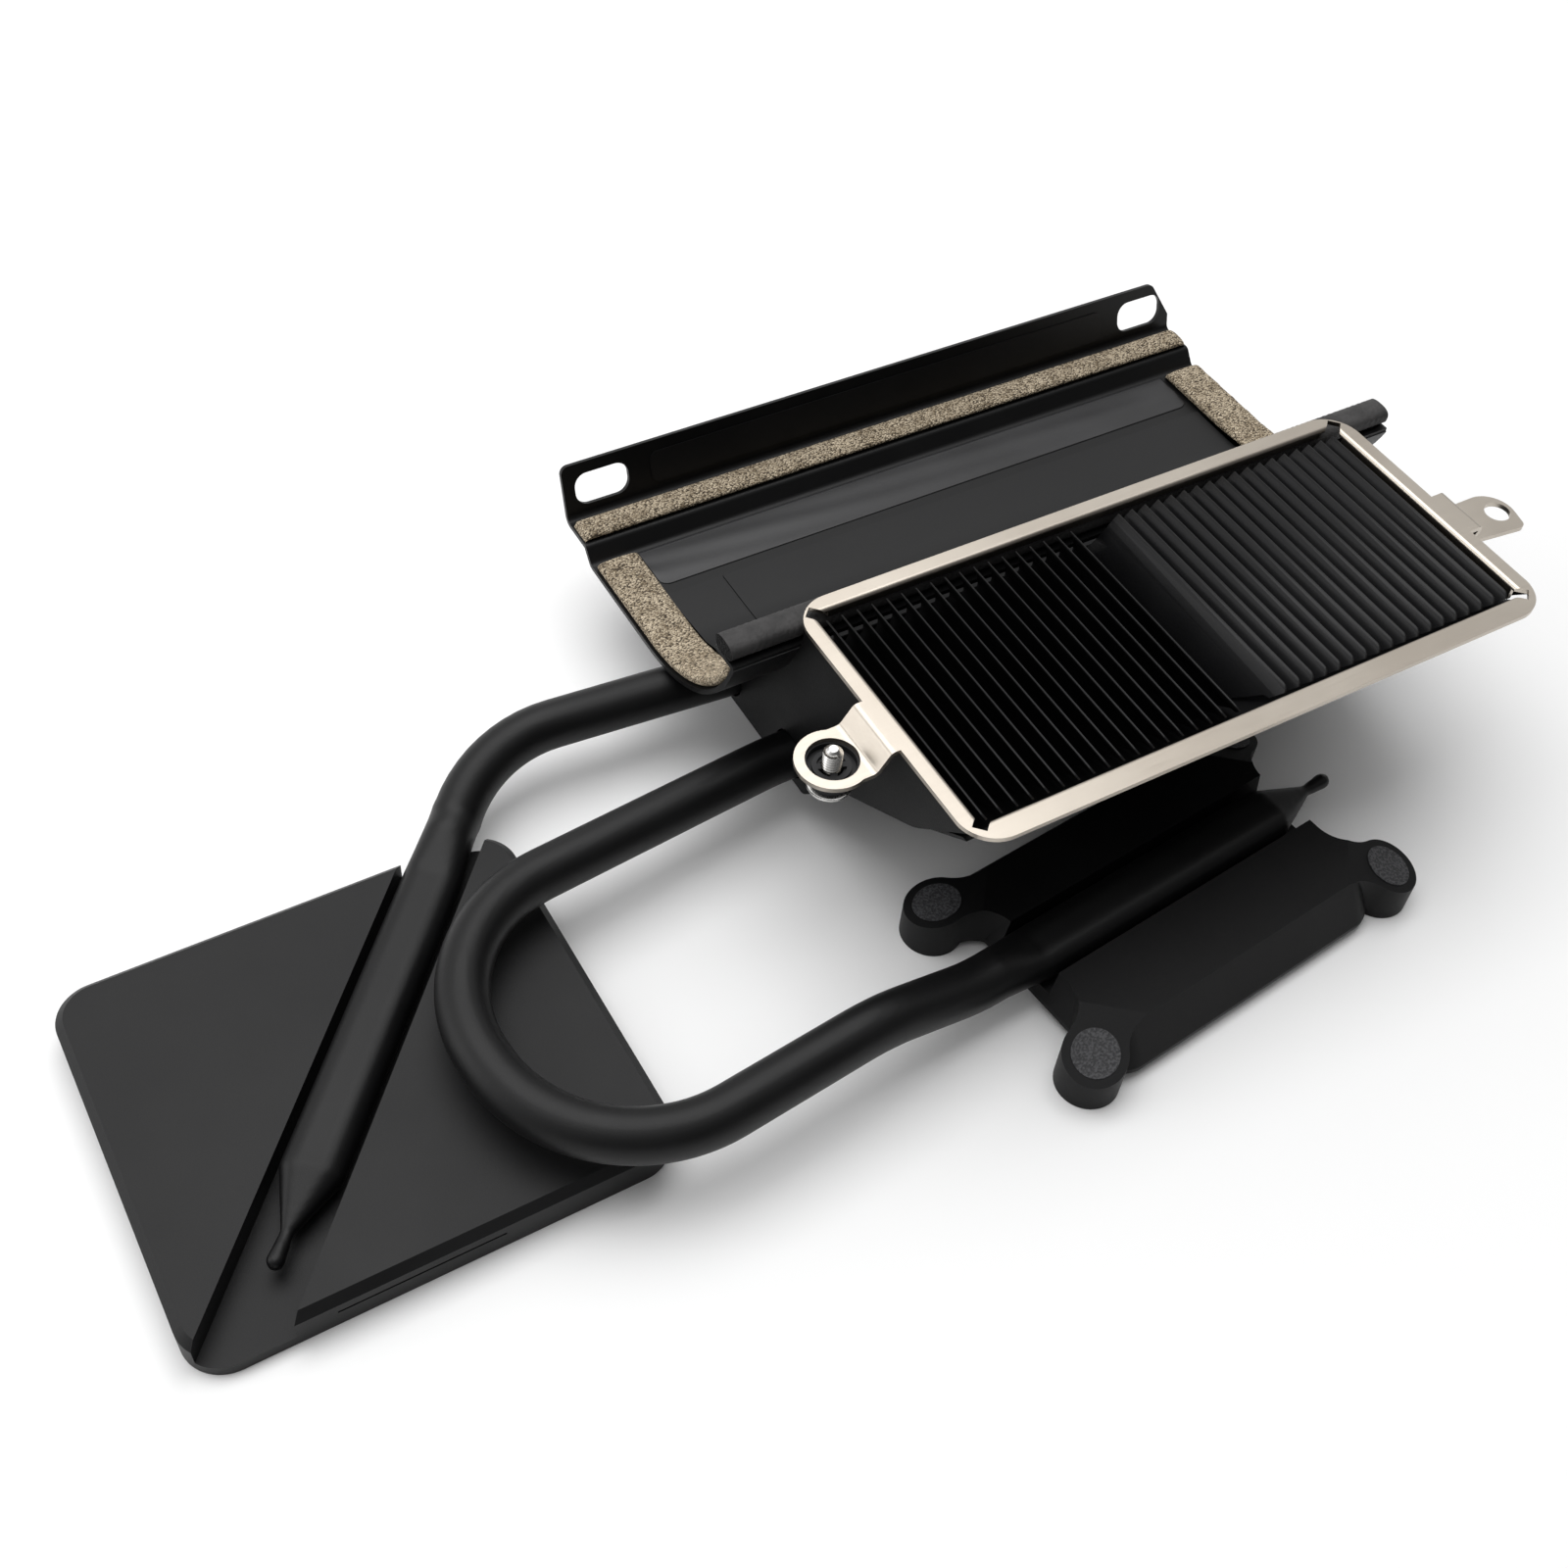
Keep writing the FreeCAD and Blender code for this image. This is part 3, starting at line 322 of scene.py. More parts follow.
def knit_group():
    """Loops of a knitted cover: stretched cells, each with its own tone, and a mask for painted shade in the
    recesses where cells meet.
    """
    group, g, given, end = effect_group("knit_cover", {"Loops per metre": 2500.0}, ("Height", "Gap", "Tone"))
    where = g.object_place()
    turned = g.add("ShaderNodeMapping", Vector=where, Rotation=KNIT_TURN, Scale=KNIT_STRETCH)["Vector"]
    cells = g.add("ShaderNodeTexVoronoi", Vector=turned, Scale=given["Loops per metre"],
                  Randomness=KNIT_RANDOM)
    drawn = g.add("ShaderNodeSeparateColor", Color=cells["Color"])
    slow = g.band(g.noise(where, KNIT_DRIFT, 2.0), *KNIT_DRIFT_SPREAD)
    tone = g.calc("ADD", g.calc("MULTIPLY", drawn["Red"], KNIT_LOOP_SHARE),
                  g.calc("MULTIPLY", slow, 1 - KNIT_LOOP_SHARE))
    height = g.band(cells["Distance"], *KNIT_LOOP_EDGE, 1.0, 0.0)
    g.fill_named(end, Height=height, Gap=g.band(cells["Distance"], *KNIT_GAP_SHADE_EDGE), Tone=tone)
    return group


def rolled_lines_group():
    """Rolling lines along X in plated sheet: noise stretched along X is the height, slow noise the shade."""
    group, g, given, end = effect_group("rolled_lines", {"Lines per metre": 6000.0}, ("Height", "Shade"))
    where = g.object_place()
    stretched = g.add_pair("ShaderNodeVectorMath", {"operation": "MULTIPLY"}, where, LINE_STRETCH)["Vector"]
    lines = g.noise(stretched, given["Lines per metre"], 2.0)
    g.fill_named(end, Height=lines, Shade=g.band(g.noise(where, PLATED_DRIFT, 3.0), *NOISE_SPREAD))
    return group


COAT_GRAIN = coat_grain_group()
DUST = dust_group()
KNIT = knit_group()
ROLLED_LINES = rolled_lines_group()


# Materials
def new_material(name):
    """A fresh material: itself, its graph, and its shader, which is joined to the output."""
    material = bpy.data.materials.new(name)
    material.use_nodes = True
    return material, Graph(material.node_tree), material.node_tree.nodes["Principled BSDF"]


def use_group(g, group, **values):
    """Places an effect in a material with its own input values; gives its outputs."""
    return g.add("ShaderNodeGroup", {"node_tree": group}, **values)


def coated_metal(name, dark, light, rough, bump, dust=0.0, shine=0.13):
    """Black coat: a grey that drifts from dark to light with the grain's shade, its roughness drifting too,
    and a few dust specks laid over it."""
    material, g, shader = new_material(name)
    coat = use_group(g, COAT_GRAIN)
    colour = g.mix(coat["Shade"], (dark, dark, dark * COAT_BLUE, 1), (light, light, light * COAT_BLUE, 1))
    if dust > 0:
        specks = use_group(g, DUST, Share=dust)["Mask"]
        colour = g.mix(g.calc("MULTIPLY", specks, DUST_COVER), colour, DUST_GREY)
    roughness = g.band(coat["Rough"], *NOISE_SPREAD, rough - COAT_ROUGH_SPREAD, rough + COAT_ROUGH_SPREAD)
    g.fill_named(shader, Base_Color=colour, Roughness=roughness, Specular_IOR_Level=shine)
    g.raise_surface(shader, coat["Height"], strength=bump, depth=COAT_BUMP_DEPTH)
    return material


def plated_sheet():
    """Warm plated metal: colour drifts with the slow shade, roughness and height follow the rolling lines."""
    material, g, shader = new_material("warm_plated_sheet")
    lines = use_group(g, ROLLED_LINES)
    g.fill_named(shader, Base_Color=g.mix(lines["Shade"], PLATED_DARK, PLATED_LIGHT), Metallic=1.0,
                 Roughness=g.band(lines["Height"], *NOISE_SPREAD, *PLATED_ROUGH))
    g.raise_surface(shader, lines["Height"], strength=0.04, depth=0.1 * MM)
    return material


def bright_steel():
    """Bright plated steel of the captive screw: colour and roughness drift with the grain."""
    material, g, shader = new_material("bright_screw_steel")
    coat = use_group(g, COAT_GRAIN, Grain_per_metre=3000.0, Drift_per_metre=400.0)
    g.fill_named(shader, Base_Color=g.mix(coat["Shade"], STEEL_DARK, STEEL_LIGHT), Metallic=1.0,
                 Roughness=g.band(coat["Rough"], *NOISE_SPREAD, *STEEL_ROUGH))
    return material


def tan_knit():
    """Tan knitted cover of the conductive foam: yarn from dark to light by loop, with painted shade, nearly
    black, in the gaps.
    """
    material, g, shader = new_material("tan_knit_cover")
    knit = use_group(g, KNIT)
    yarn = g.mix(knit["Tone"], YARN_DARK, YARN_LIGHT)
    g.fill_named(shader, Base_Color=g.mix(knit["Gap"], yarn, YARN_GAP_SHADE), Roughness=0.8, Specular_IOR_Level=0.2)
    g.raise_surface(shader, knit["Height"], strength=0.6, depth=0.2 * MM)
    return material


def grainy_face():
    """Black insert face with coarse pressed grain: pale and dark grains by the fine noise."""
    material, g, shader = new_material("black_insert_face")
    coat = use_group(g, COAT_GRAIN, Grain_per_metre=2600.0)
    colour = g.mix(g.band(coat["Height"], *GRAIN_EDGE), GRAIN_DARK, GRAIN_LIGHT)
    g.fill_named(shader, Base_Color=colour, Roughness=0.5, Specular_IOR_Level=0.35)
    g.raise_surface(shader, coat["Height"], strength=0.8, depth=0.2 * MM)
    return material


def black_foam_skin():
    """Wrinkled closed skin of the black foam strip: coarse grain with a quick drift of shade."""
    material, g, shader = new_material("black_foam_skin")
    coat = use_group(g, COAT_GRAIN, Grain_per_metre=1600.0, Drift_per_metre=300.0)
    colour = g.mix(coat["Shade"], SKIN_DARK, SKIN_LIGHT)
    g.fill_named(shader, Base_Color=colour, Roughness=0.62, Specular_IOR_Level=0.3)
    g.raise_surface(shader, coat["Height"], strength=0.5, depth=0.3 * MM)
    return material


def black_foam_cells():
    """Open cells on the cut ends of the black foam strip: the knit's cells, coarser, with painted shade, near
    black, between them.
    """
    material, g, shader = new_material("black_foam_cells")
    knit = use_group(g, KNIT, Loops_per_metre=1800.0)
    colour = g.mix(knit["Gap"], CELL_WALL, CELL_HOLLOW_SHADE)
    g.fill_named(shader, Base_Color=colour, Roughness=0.9, Specular_IOR_Level=0.2)
    g.raise_surface(shader, knit["Height"], strength=1.0, depth=0.4 * MM)
    return material


PLATE = coated_metal("matte_black_plate", 0.0045, 0.006, rough=0.5, bump=0.12, dust=0.012, shine=0.29)
BLOCK = coated_metal("cast_black_block", 0.004, 0.0055, rough=0.5, bump=0.15, dust=0.006, shine=0.17)
DULL_SHEET = coated_metal("dull_black_sheet", 0.003, 0.004, rough=0.45, bump=0.08)
PIPE = coated_metal("satin_black_pipe", 0.003, 0.004, rough=0.44, bump=0.1, dust=0.006, shine=0.3)
SHEET = coated_metal("satin_black_sheet", 0.003, 0.004, rough=0.42, bump=0.08, dust=0.004, shine=0.28)
FIN = coated_metal("dark_fin_metal", 0.006, 0.009, rough=0.42, bump=0.05, shine=0.28)
INSERT = grainy_face()
FILM = coated_metal("matte_black_film", 0.0045, 0.006, rough=0.46, bump=0.06, dust=0.004, shine=0.3)
TAPE = coated_metal("smooth_black_tape", 0.012, 0.018, rough=0.34, bump=0.06, shine=0.5)
RUBBER = coated_metal("black_rubber", 0.010, 0.015, rough=0.55, bump=0.1, shine=0.35)
PLATED = plated_sheet()
STEEL = bright_steel()
TAN = tan_knit()
FOAM_SKIN = black_foam_skin()
FOAM_CELLS = black_foam_cells()


def dress_cad_nodes():
    """Gives every carried-over node its finish, by its name or else by the record's material slot."""
    by_slot = {"black_block": BLOCK, "black_pipe": PIPE, "black_sheet": SHEET, "fin_metal": FIN,
               "bright_sheet": PLATED, "screw_steel": STEEL, "insert_metal": INSERT, "soft_rubber": RUBBER,
               "clip_plastic": RUBBER, "black_foam": FOAM_SKIN, "tan_foam": TAN, "black_film": FILM,
               "black_tape": TAPE}
    by_name = {"cpu_cold_plate": PLATE, "left_end_plate": DULL_SHEET, "right_end_plate": DULL_SHEET,
               "lower_shroud": DULL_SHEET, "fin_base": DULL_SHEET}
    slots = {part["node"]: part["material_slot"] for part in frame["record"]["subparts"]}
    for name, node in frame["nodes"].items():
        node.data.materials.clear()
        node.data.materials.append(by_name.get(name, by_slot[slots[name]]))


# Making and placing meshes
def put_in_scene(name, node, mesh):
    """Puts a finished mesh in the scene in place of a node."""
    piece = bpy.data.objects.new(name, mesh)
    scene.collection.objects.link(piece)
    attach(piece, "root")
    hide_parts(node)
    return piece


def surface(name, node, points, skin, ends=None):
    """A closed mesh from a grid: rows along a path, columns round a section, and a fan over each end row."""
    rows, columns = points.shape[:2]
    index = np.arange(rows * columns).reshape(rows, columns)
    across = np.roll(index, -1, axis=1)
    quads = np.stack([index[:-1], across[:-1], across[1:], index[1:]], axis=-1).reshape(-1, 4)
    first_middle = rows * columns
    fans = [np.stack([np.full(columns, first_middle), across[0], index[0]], axis=-1),
            np.stack([np.full(columns, first_middle + 1), index[-1], across[-1]], axis=-1)]
    middles = np.stack([points[0].mean(axis=0), points[-1].mean(axis=0)])
    vertices = np.concatenate([points.reshape(-1, 3), middles])
    mesh = bpy.data.meshes.new(name)
    mesh.from_pydata(vertices.tolist(), [], quads.tolist() + np.concatenate(fans).tolist())
    for material in (skin, ends or skin):
        mesh.materials.append(material)
    on_end = np.arange(len(mesh.polygons)) >= len(quads)
    mesh.polygons.foreach_set("material_index", on_end.astype(np.int32))
    mesh.polygons.foreach_set("use_smooth", ~on_end)
    mesh.update()
    return put_in_scene(name, node, mesh)


def merged_copy(node, cut_heights=()):
    """A copy of a node's mesh with its loose triangles joined, and with an edge line at each cut height."""
    mesh = frame["nodes"][node].data.copy()
    shape = bmesh.new()
    shape.from_mesh(mesh)
    bmesh.ops.remove_doubles(shape, verts=shape.verts, dist=MERGE_GAP)
    for cut_z in cut_heights:
        whole = shape.verts[:] + shape.edges[:] + shape.faces[:]
        bmesh.ops.bisect_plane(shape, geom=whole, dist=CUT_GAP, plane_co=(0, 0, cut_z), plane_no=(0, 0, 1))
    shape.to_mesh(mesh)
    shape.free()
    return mesh


def points_of(mesh):
    """A mesh's points, one row of x, y and z each."""
    points = np.empty(len(mesh.vertices) * 3)
    mesh.vertices.foreach_get("co", points)
    return points.reshape(-1, 3)


def reshape_copy(mesh, points, material, sharp=None):
    """Moves a copy's points and gives it one material; where an angle is given, it is shaded smooth except
    over folds sharper than that, and otherwise as its node is."""
    mesh.vertices.foreach_set("co", points.ravel())
    mesh.materials.clear()
    mesh.materials.append(material)
    if sharp is not None:
        mesh.polygons.foreach_set("use_smooth", np.ones(len(mesh.polygons), dtype=bool))
        mesh.set_sharp_from_angle(angle=sharp)
    mesh.update()


# Heat pipes
def evened(mesh):
    """A mesh's form rebuilt as even faces on a voxel grid."""
    carrier = bpy.data.objects.new("remesh_carrier", mesh)
    scene.collection.objects.link(carrier)
    remesh = carrier.modifiers.new("voxels", "REMESH")
    remesh.mode = "VOXEL"
    remesh.voxel_size = PIPE_VOXEL
    even = bpy.data.meshes.new_from_object(carrier.evaluated_get(bpy.context.evaluated_depsgraph_get()))
    bpy.data.objects.remove(carrier)
    bpy.data.meshes.remove(mesh)
    return even


def relaxed(points, edges, steps):
    """Rounds off creases and keeps the volume: each step moves every point toward the mean of its
    neighbours by half the way, then away from the new mean by slightly more than half."""
    here, there = np.concatenate([edges, edges[:, ::-1]]).T
    count = np.bincount(here, minlength=len(points))[:, None]
    for share in (RELAX_IN, RELAX_OUT) * steps:
        total = np.stack([np.bincount(here, column[there], len(points)) for column in points.T], axis=1)
        points = points + share * (total / count - points)
    return points


def soft_pipe(name, node):
    """A pipe whose pressed lengths and drawn tip flow into each other: the node's own surface, relaxed."""
    mesh = evened(merged_copy(node))
    mesh.name = name
    edges = np.empty(len(mesh.edges) * 2, dtype=np.int32)
    mesh.edges.foreach_get("vertices", edges)
    points = relaxed(points_of(mesh), edges.reshape(-1, 2), PIPE_RELAX)
    reshape_copy(mesh, points, PIPE, NO_FOLDS)
    put_in_scene(name, node, mesh)


# Fin stack
def curled_fin(node):
    """A fin as thin sheet: the node's surface drawn in toward the fin's middle arc, its top curled on by the
    square of the height and stretched up in proportion to it, and its front corner pushed forward above the
    shroud."""
    low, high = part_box(node)
    stack_low, stack_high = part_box("fin_base")
    side = math.copysign(1.0, low.x + high.x - stack_low.x - stack_high.x)
    foot_x = low.x + FIN_T / 2 if side > 0 else high.x - FIN_T / 2
    mesh = merged_copy(node, (FIN_NOSE_Z, FIN_NOSE_Z + FIN_NOSE_RISE))
    x, y, z = points_of(mesh).T
    rise = high.z - FIN_BEND_Z
    radius = rise / math.sin(2 * math.atan(FIN_LEAN / rise))
    height = np.clip(z - FIN_BEND_Z, 0, rise)
    middle = foot_x + side * (radius - np.sqrt(radius ** 2 - height ** 2))
    top = np.clip((z - FIN_NOSE_Z) / (high.z - FIN_NOSE_Z), 0, 1)
    nose = np.clip((z - FIN_NOSE_Z) / FIN_NOSE_RISE, 0, 1) * (y < FIN_NOSE_Y)
    x = middle + (x - middle) * FIN_THIN + side * FIN_CURL * top ** 2
    moved = np.stack([x, y - FIN_NOSE_REACH * nose, z + FIN_RAISE * top], axis=1)
    reshape_copy(mesh, moved, FIN, FIN_SHARP)
    put_in_scene(node + "_sheet", node, mesh)


def band_fall(depth):
    """1 from the outer edge to the band's inner part, falling evenly to 0 toward the window's middle."""
    return 1 - np.clip((depth - BAND_FULL) / (BAND_END - BAND_FULL), 0, 1)


def band_weight(depth):
    """The band's fall, but 0 near the outer edge."""
    return np.where(depth < BAND_START, 0.0, band_fall(depth))


def slim_frame():
    """The bright frame with a narrower band: the node's surface with its folded lips moved outward on the
    left, right and back, the whole front band moved back, and the back lip kept above the foam."""
    low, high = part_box("exhaust_frame")
    left_x = high.x - FRAME_L
    mesh = merged_copy("exhaust_frame")
    x, y, z = points_of(mesh).T
    on_frame = x > left_x - SAME_PLACE
    depth = np.minimum(np.minimum(x - left_x, high.x - x), np.minimum(y - low.y, high.y - y))
    inner = BAND_SLIM * (depth >= BAND_START)
    back = band_weight(high.y - y)
    moved_x = x + inner * (band_weight(high.x - x) - band_weight(x - left_x))
    moved_y = y + inner * back + on_frame * BAND_FRONT_SHIFT * band_fall(y - low.y)
    moved_z = np.where((inner > 0) & (back >= 1), np.maximum(z, BACK_LIP_LOW), z)
    reshape_copy(mesh, np.stack([moved_x, moved_y, moved_z], axis=1), PLATED, FRAME_SHARP)
    put_in_scene("exhaust_frame_sheet", "exhaust_frame", mesh)


def closed_shroud():
    """The shroud with its front rim drawn forward and up to the frame's front lip, and the rest as packed."""
    top_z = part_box("lower_shroud")[1].z
    mesh = merged_copy("lower_shroud")
    x, y, z = points_of(mesh).T
    rim = (z > top_z - SAME_PLACE) & (y < 0)
    moved = np.stack([x, y - SHROUD_REACH * rim, z + SHROUD_RAISE * rim], axis=1)
    reshape_copy(mesh, moved, DULL_SHEET)
    put_in_scene("lower_shroud_sheet", "lower_shroud", mesh)


# Adhesive sheets on the scoop
def scoop_path(rows, floor_z, end_y, stop_angle):
    """Along the floor to the stack, then up the scoop's arc to an angle; gives y, z and inward normals."""
    flat = end_y - SCOOP_ARC_Y
    curve = SCOOP_ARC_R * stop_angle
    run = np.linspace(0, flat + curve, rows)
    turn = np.clip((run - flat) / SCOOP_ARC_R, 0, None)
    y = np.where(run < flat, end_y - run, SCOOP_ARC_Y - SCOOP_ARC_R * np.sin(turn))
    z = np.where(run < flat, floor_z, floor_z + SCOOP_ARC_R * (1 - np.cos(turn)))
    normal = np.stack([np.zeros(rows), np.sin(turn), np.cos(turn)], axis=1)
    return y, z, normal


def floor_film():
    """Film along the floor and up the scoop's arc: an even thickness on that path, with a slit where it is
    thin."""
    low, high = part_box("floor_film")
    y, z, normal = scoop_path(FILM_ROWS, low.z, high.y, FILM_ARC)
    slit = FILM_SLIT_X + FILM_SLIT_W * np.array(FILM_SLIT_WALLS)
    x = np.concatenate([[low.x], slit, [high.x]])
    thick = np.array([FILM_T, FILM_T, FILM_SLIT_T, FILM_SLIT_T, FILM_T, FILM_T])
    under = np.stack([np.zeros(len(y)), y, z], axis=1)
    over = under[None] + thick[:, None, None] * normal[None]
    loop = np.concatenate([np.broadcast_to(under[::-1], over.shape), over], axis=1)
    loop[:, :, 0] = x[:, None]
    film = surface("floor_film_sheet", "floor_film", loop, FILM)
    film.data.shade_flat()


def floor_tape():
    """Tape from the front line of its node back to the step, between the side strips: a thin closed sheet
    with round front corners, its top lifted by slow waves along it and across it."""
    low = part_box("floor_tape")[0]
    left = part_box("left_foam")[1].x + TAPE_CLEARANCE
    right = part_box("right_foam")[0].x - TAPE_CLEARANCE
    x = np.linspace(left, right, TAPE_COLUMNS)
    inward = np.clip(TAPE_CORNER - np.minimum(x - left, right - x), 0, TAPE_CORNER)
    corner = TAPE_CORNER - np.sqrt(TAPE_CORNER ** 2 - inward ** 2)
    across = np.linspace(0, 1, TAPE_ROWS)
    front = low.y + corner
    y = front[:, None] + (TAPE_BACK_Y - front)[:, None] * across[None, :]
    run = (x - left)[:, None]
    along_wave = np.sin(run * TAPE_WAVE + TAPE_WAVE_SLANT * across + np.sin(run * TAPE_WAVE_DRIFT))
    wave = along_wave * np.sin(across * math.pi * 2.0 + run * TAPE_CROSS_DRIFT)
    top = low.z + TAPE_T + TAPE_RIPPLE * (1 + wave) / 2 * np.sin(across * math.pi)
    along = np.broadcast_to(x[:, None], y.shape)
    under = np.stack([along, y, np.full(y.shape, low.z)], axis=-1)
    over = np.stack([along, y, top], axis=-1)[:, ::-1]
    surface("floor_tape_sheet", "floor_tape", np.concatenate([under, over], axis=1), TAPE)


# Foam strips
def pillow_section(power):
    """A superellipse: sides nearly flat, edges softly rounded; gives the turn, and x and y from -1 to 1."""
    turn = np.linspace(0, 2 * math.pi, FOAM_COLUMNS, endpoint=False)
    x = np.sign(np.cos(turn)) * np.abs(np.cos(turn)) ** (2 / power)
    y = np.sign(np.sin(turn)) * np.abs(np.sin(turn)) ** (2 / power)
    return turn, x, y


def foam_strip(name, node, path, normal, side, width, thickness, power=FOAM_EDGE_POWER):
    """A pillow section carried along a path: its width along side, its thickness along the normal, both
    shrinking along a quarter round at each end, and its top lifted by two slow waves."""
    x, y = pillow_section(power)[1:]
    along = np.linspace(0, 1, len(path))
    distance = np.concatenate([[0], np.cumsum(np.linalg.norm(np.diff(path, axis=0), axis=1))])
    reach = np.minimum(distance, distance[-1] - distance) / (thickness * FOAM_END_ROUND)
    swell = np.sqrt(np.clip(1 - (1 - np.clip(reach, FOAM_END_START, 1)) ** 2, 0, 1))
    short_wave = FOAM_SHORT_SHARE * np.sin(along * FOAM_SHORT_WAVE + FOAM_SHORT_PHASE)
    wave = FOAM_WAVE * (np.sin(along * FOAM_LONG_WAVE) + short_wave)
    half_width = (width / 2) * (1 - FOAM_END_NARROW + FOAM_END_NARROW * swell)
    across = half_width[:, None] * x[None, :]
    body = thickness * 0.5 * swell[:, None] * (1 + y[None, :])
    lift = body + wave[:, None] * (y[None, :] > FOAM_WAVE_FLOOR)
    points = path[:, None, :] + across[:, :, None] * np.asarray(side) + lift[:, :, None] * normal[:, None, :]
    piece = surface(name, node, points, TAN)


def side_foam(name, node):
    """Tan strip on one side rim of the scoop: flat along the floor, then up the arc."""
    low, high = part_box(node)
    y, z, normal = scoop_path(SIDE_FOAM_ROWS, low.z, high.y, SIDE_FOAM_ARC)
    path = np.stack([np.full(len(y), (low.x + high.x) / 2), y, z], axis=1)
    foam_strip(name, node, path, normal, (1, 0, 0), high.x - low.x, SIDE_FOAM_T)


def back_foam():
    """Tan strip on the step before the flange: a straight path along X."""
    low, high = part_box("back_foam")
    x = np.linspace(low.x, high.x, BACK_FOAM_ROWS)
    path = np.stack([x, np.full(len(x), (low.y + high.y) / 2), np.full(len(x), low.z)], axis=1)
    normal = np.tile([0.0, 0.0, 1.0], (len(x), 1))
    width = BACK_FOAM_SLIM * (high.y - low.y)
    thickness = high.z - low.z
    foam_strip("back_foam_strip", "back_foam", path, normal, (0, 1, 0), width, thickness, BACK_EDGE_POWER)


def lip_foam():
    """Black strip on the lip: a pillow section along X, shrunk by shallow creases that drift and fade along
    it, and cut ends with open cells."""
    low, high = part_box("lip_foam")
    x = np.linspace(low.x, high.x, LIP_ROWS)
    turn, turn_y, turn_z = pillow_section(LIP_EDGE_POWER)
    bend = LIP_CREASE_BEND * np.sin(turn * LIP_CREASE_TURNS)
    drift = LIP_DRIFT_REACH * np.sin(x * LIP_DRIFT)
    fade = 1 - LIP_FADE_SHARE + LIP_FADE_SHARE * np.sin(x * LIP_FADE + LIP_FADE_PHASE)
    crease = np.sin(x[:, None] * LIP_CREASE + bend[None, :] + drift[:, None]) * fade[:, None] - 1.0
    shrink = 1.0 + crease * (LIP_WRINKLE / (high.z - low.z))
    y = (low.y + high.y) / 2 + (high.y - low.y) / 2 * turn_y[None, :] * shrink
    z = low.z + (high.z - low.z) / 2 * (1 + turn_z[None, :] * shrink)
    points = np.stack([np.broadcast_to(x[:, None], y.shape), y, np.maximum(z, low.z)], axis=-1)
    piece = surface("lip_foam_strip", "lip_foam", points, FOAM_SKIN, FOAM_CELLS)


# Captive screw
def captive_screw():
    """A turned profile: head, plain shank, a triangular helix cut into the shank, and a chamfered tip."""
    low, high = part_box("captive_screw")
    head_r = (high.x - low.x) / 2
    tip_r = SHANK_R - TIP_CHAMFER
    neck = low.z + HEAD_T
    head_z = [low.z, low.z + SCREW_BEVEL, neck - SCREW_BEVEL, neck, neck]
    head_radius = [head_r - SCREW_BEVEL, head_r, head_r, head_r - SCREW_BEVEL, SHANK_R + SCREW_BEVEL]
    shank_z = np.linspace(neck + SCREW_BEVEL, high.z - TIP_CHAMFER, SCREW_ROWS)
    shank_radius = np.full(SCREW_ROWS, SHANK_R)
    z = np.concatenate([head_z, shank_z, [high.z - SCREW_BEVEL, high.z]])
    radius = np.concatenate([head_radius, shank_radius, [tip_r + SCREW_BEVEL, tip_r - SCREW_BEVEL]])
    turn = np.linspace(0, 2 * math.pi, SCREW_COLUMNS, endpoint=False)
    phase = z[:, None] / THREAD_PITCH - turn[None, :] / (2 * math.pi)
    groove = np.abs(2 * (phase - np.floor(phase)) - 1)
    run_in = np.clip((z - high.z + THREAD_L) / THREAD_PITCH, 0, 1)
    run_out = np.clip((high.z - SCREW_BEVEL - z) / THREAD_PITCH, 0, 1)
    reach = radius[:, None] - THREAD_DEPTH * groove * (run_in * run_out)[:, None]
    middle = (low + high) / 2
    points = np.stack([middle.x + reach * np.cos(turn), middle.y + reach * np.sin(turn),
                       np.broadcast_to(z[:, None], reach.shape)], axis=-1)
    surface("captive_screw_thread", "captive_screw", points, STEEL)


# Camera, floor and light
def add_camera():
    """Camera at the photograph's place, turned so that its axes are right, up and back."""
    data = bpy.data.cameras.new("camera")
    data.sensor_width = CAMERA_SENSOR
    data.lens = CAMERA_LENS
    camera = bpy.data.objects.new("camera", data)
    scene.collection.objects.link(camera)
    axes = Matrix((Vector(CAMERA_RIGHT), -Vector(CAMERA_DOWN), -Vector(CAMERA_AHEAD)))
    camera.matrix_world = Matrix.Translation(CAMERA_PLACE) @ axes.transposed().to_4x4()
    scene.camera = camera


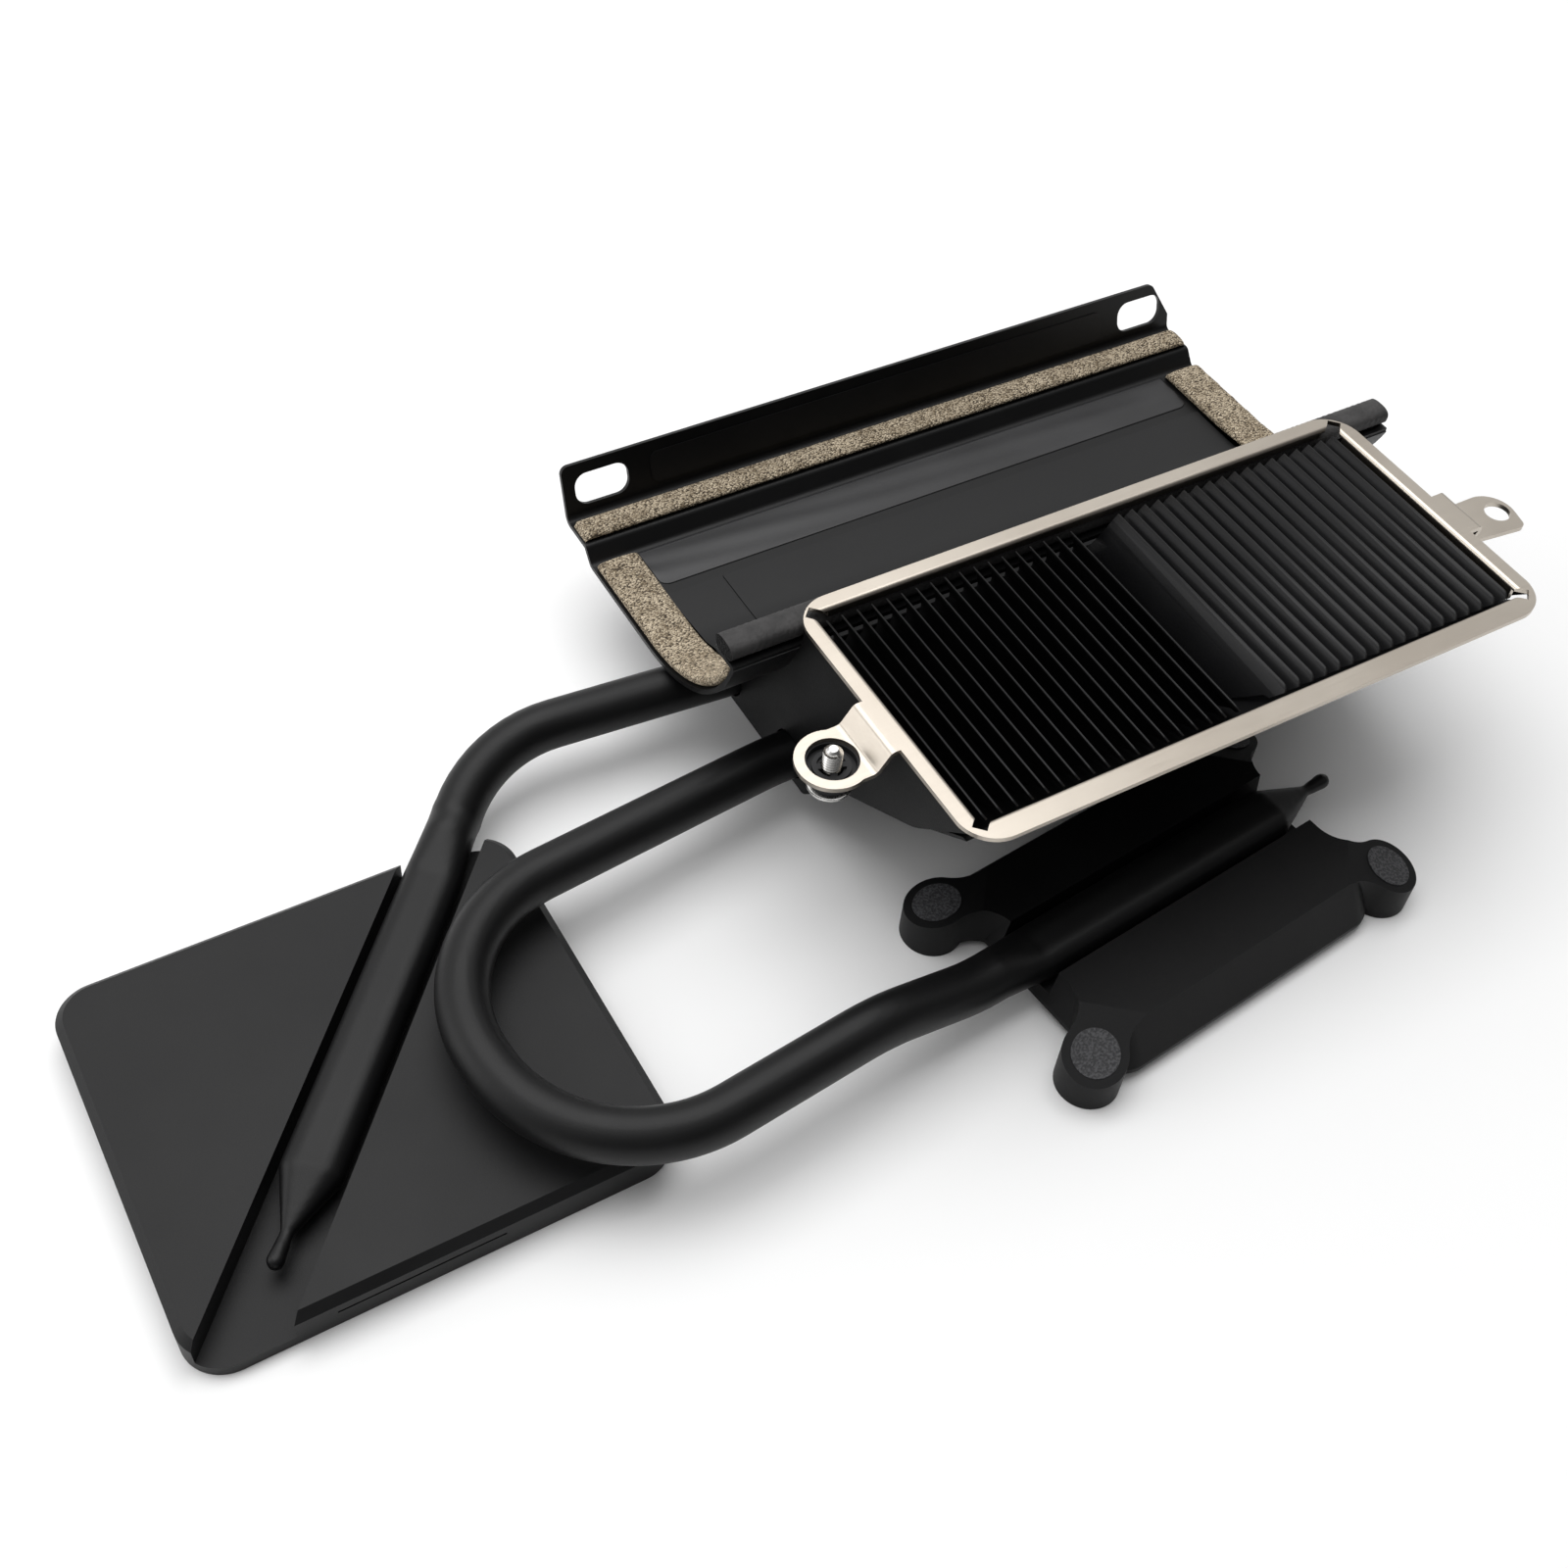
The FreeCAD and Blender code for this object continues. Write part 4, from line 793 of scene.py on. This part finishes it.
def add_floor():
    """Plain pale floor: one square just under the part."""
    mesh = bpy.data.meshes.new("floor")
    far = FLOOR_HALF
    mesh.from_pydata([(-far, -far, 0), (far, -far, 0), (far, far, 0), (-far, far, 0)], [], [(0, 1, 2, 3)])
    floor = bpy.data.objects.new("floor", mesh)
    floor.location.z = -FLOOR_DROP
    scene.collection.objects.link(floor)
    material, g, shader = new_material("pale_floor")
    g.fill_named(shader, Base_Color=FLOOR_WHITE, Roughness=0.6)
    mesh.materials.append(material)


def add_lamp(name, stand, target, width, depth, power):
    """A soft rectangular lamp that stands at one point and is aimed at another."""
    data = bpy.data.lights.new(name, "AREA")
    data.shape = "RECTANGLE"
    data.size = width
    data.size_y = depth
    data.energy = power
    lamp = bpy.data.objects.new(name, data)
    lamp.location = stand
    lamp.rotation_euler = (Vector(target) - Vector(stand)).to_track_quat("-Z", "Y").to_euler()
    scene.collection.objects.link(lamp)


def add_light():
    """White surroundings whose strength rises with how far a direction points to the bright side, behind and
    above; one large soft lamp above and one weak one on the left."""
    world = bpy.data.worlds.new("studio")
    scene.world = world
    world.use_nodes = True
    g = Graph(world.node_tree)
    ahead = g.add("ShaderNodeTexCoord")["Generated"]
    along = g.add_pair("ShaderNodeVectorMath", {"operation": "DOT_PRODUCT"}, ahead, WORLD_BRIGHT_SIDE)
    g.fill_named(world.node_tree.nodes["Background"], Color=(1, 1, 1, 1),
                 Strength=g.band(along["Value"], *WORLD_FADE, *WORLD_STRENGTH))
    add_lamp("overhead_softbox", stand=(0.06, 0.28, 0.96), target=(0.08, 0.0, 0.0),
             width=1.1, depth=0.9, power=7.0)
    add_lamp("left_softbox", stand=(-0.85, 0.45, 0.36), target=(0.12, 0.0, 0.03),
             width=0.6, depth=0.6, power=1.6)


scene.view_settings.view_transform = "Standard"
dress_cad_nodes()
side_foam("left_foam_strip", "left_foam")
side_foam("right_foam_strip", "right_foam")
back_foam()
lip_foam()
captive_screw()
floor_film()
floor_tape()
slim_frame()
closed_shroud()
for fin_name in sorted(name for name in frame["nodes"] if name.startswith("fin_") and name != "fin_base"):
    curled_fin(fin_name)
soft_pipe("cpu_heat_pipe_smooth", "cpu_heat_pipe")
soft_pipe("gpu_heat_pipe_smooth", "gpu_heat_pipe")
add_camera()
add_floor()
add_light()
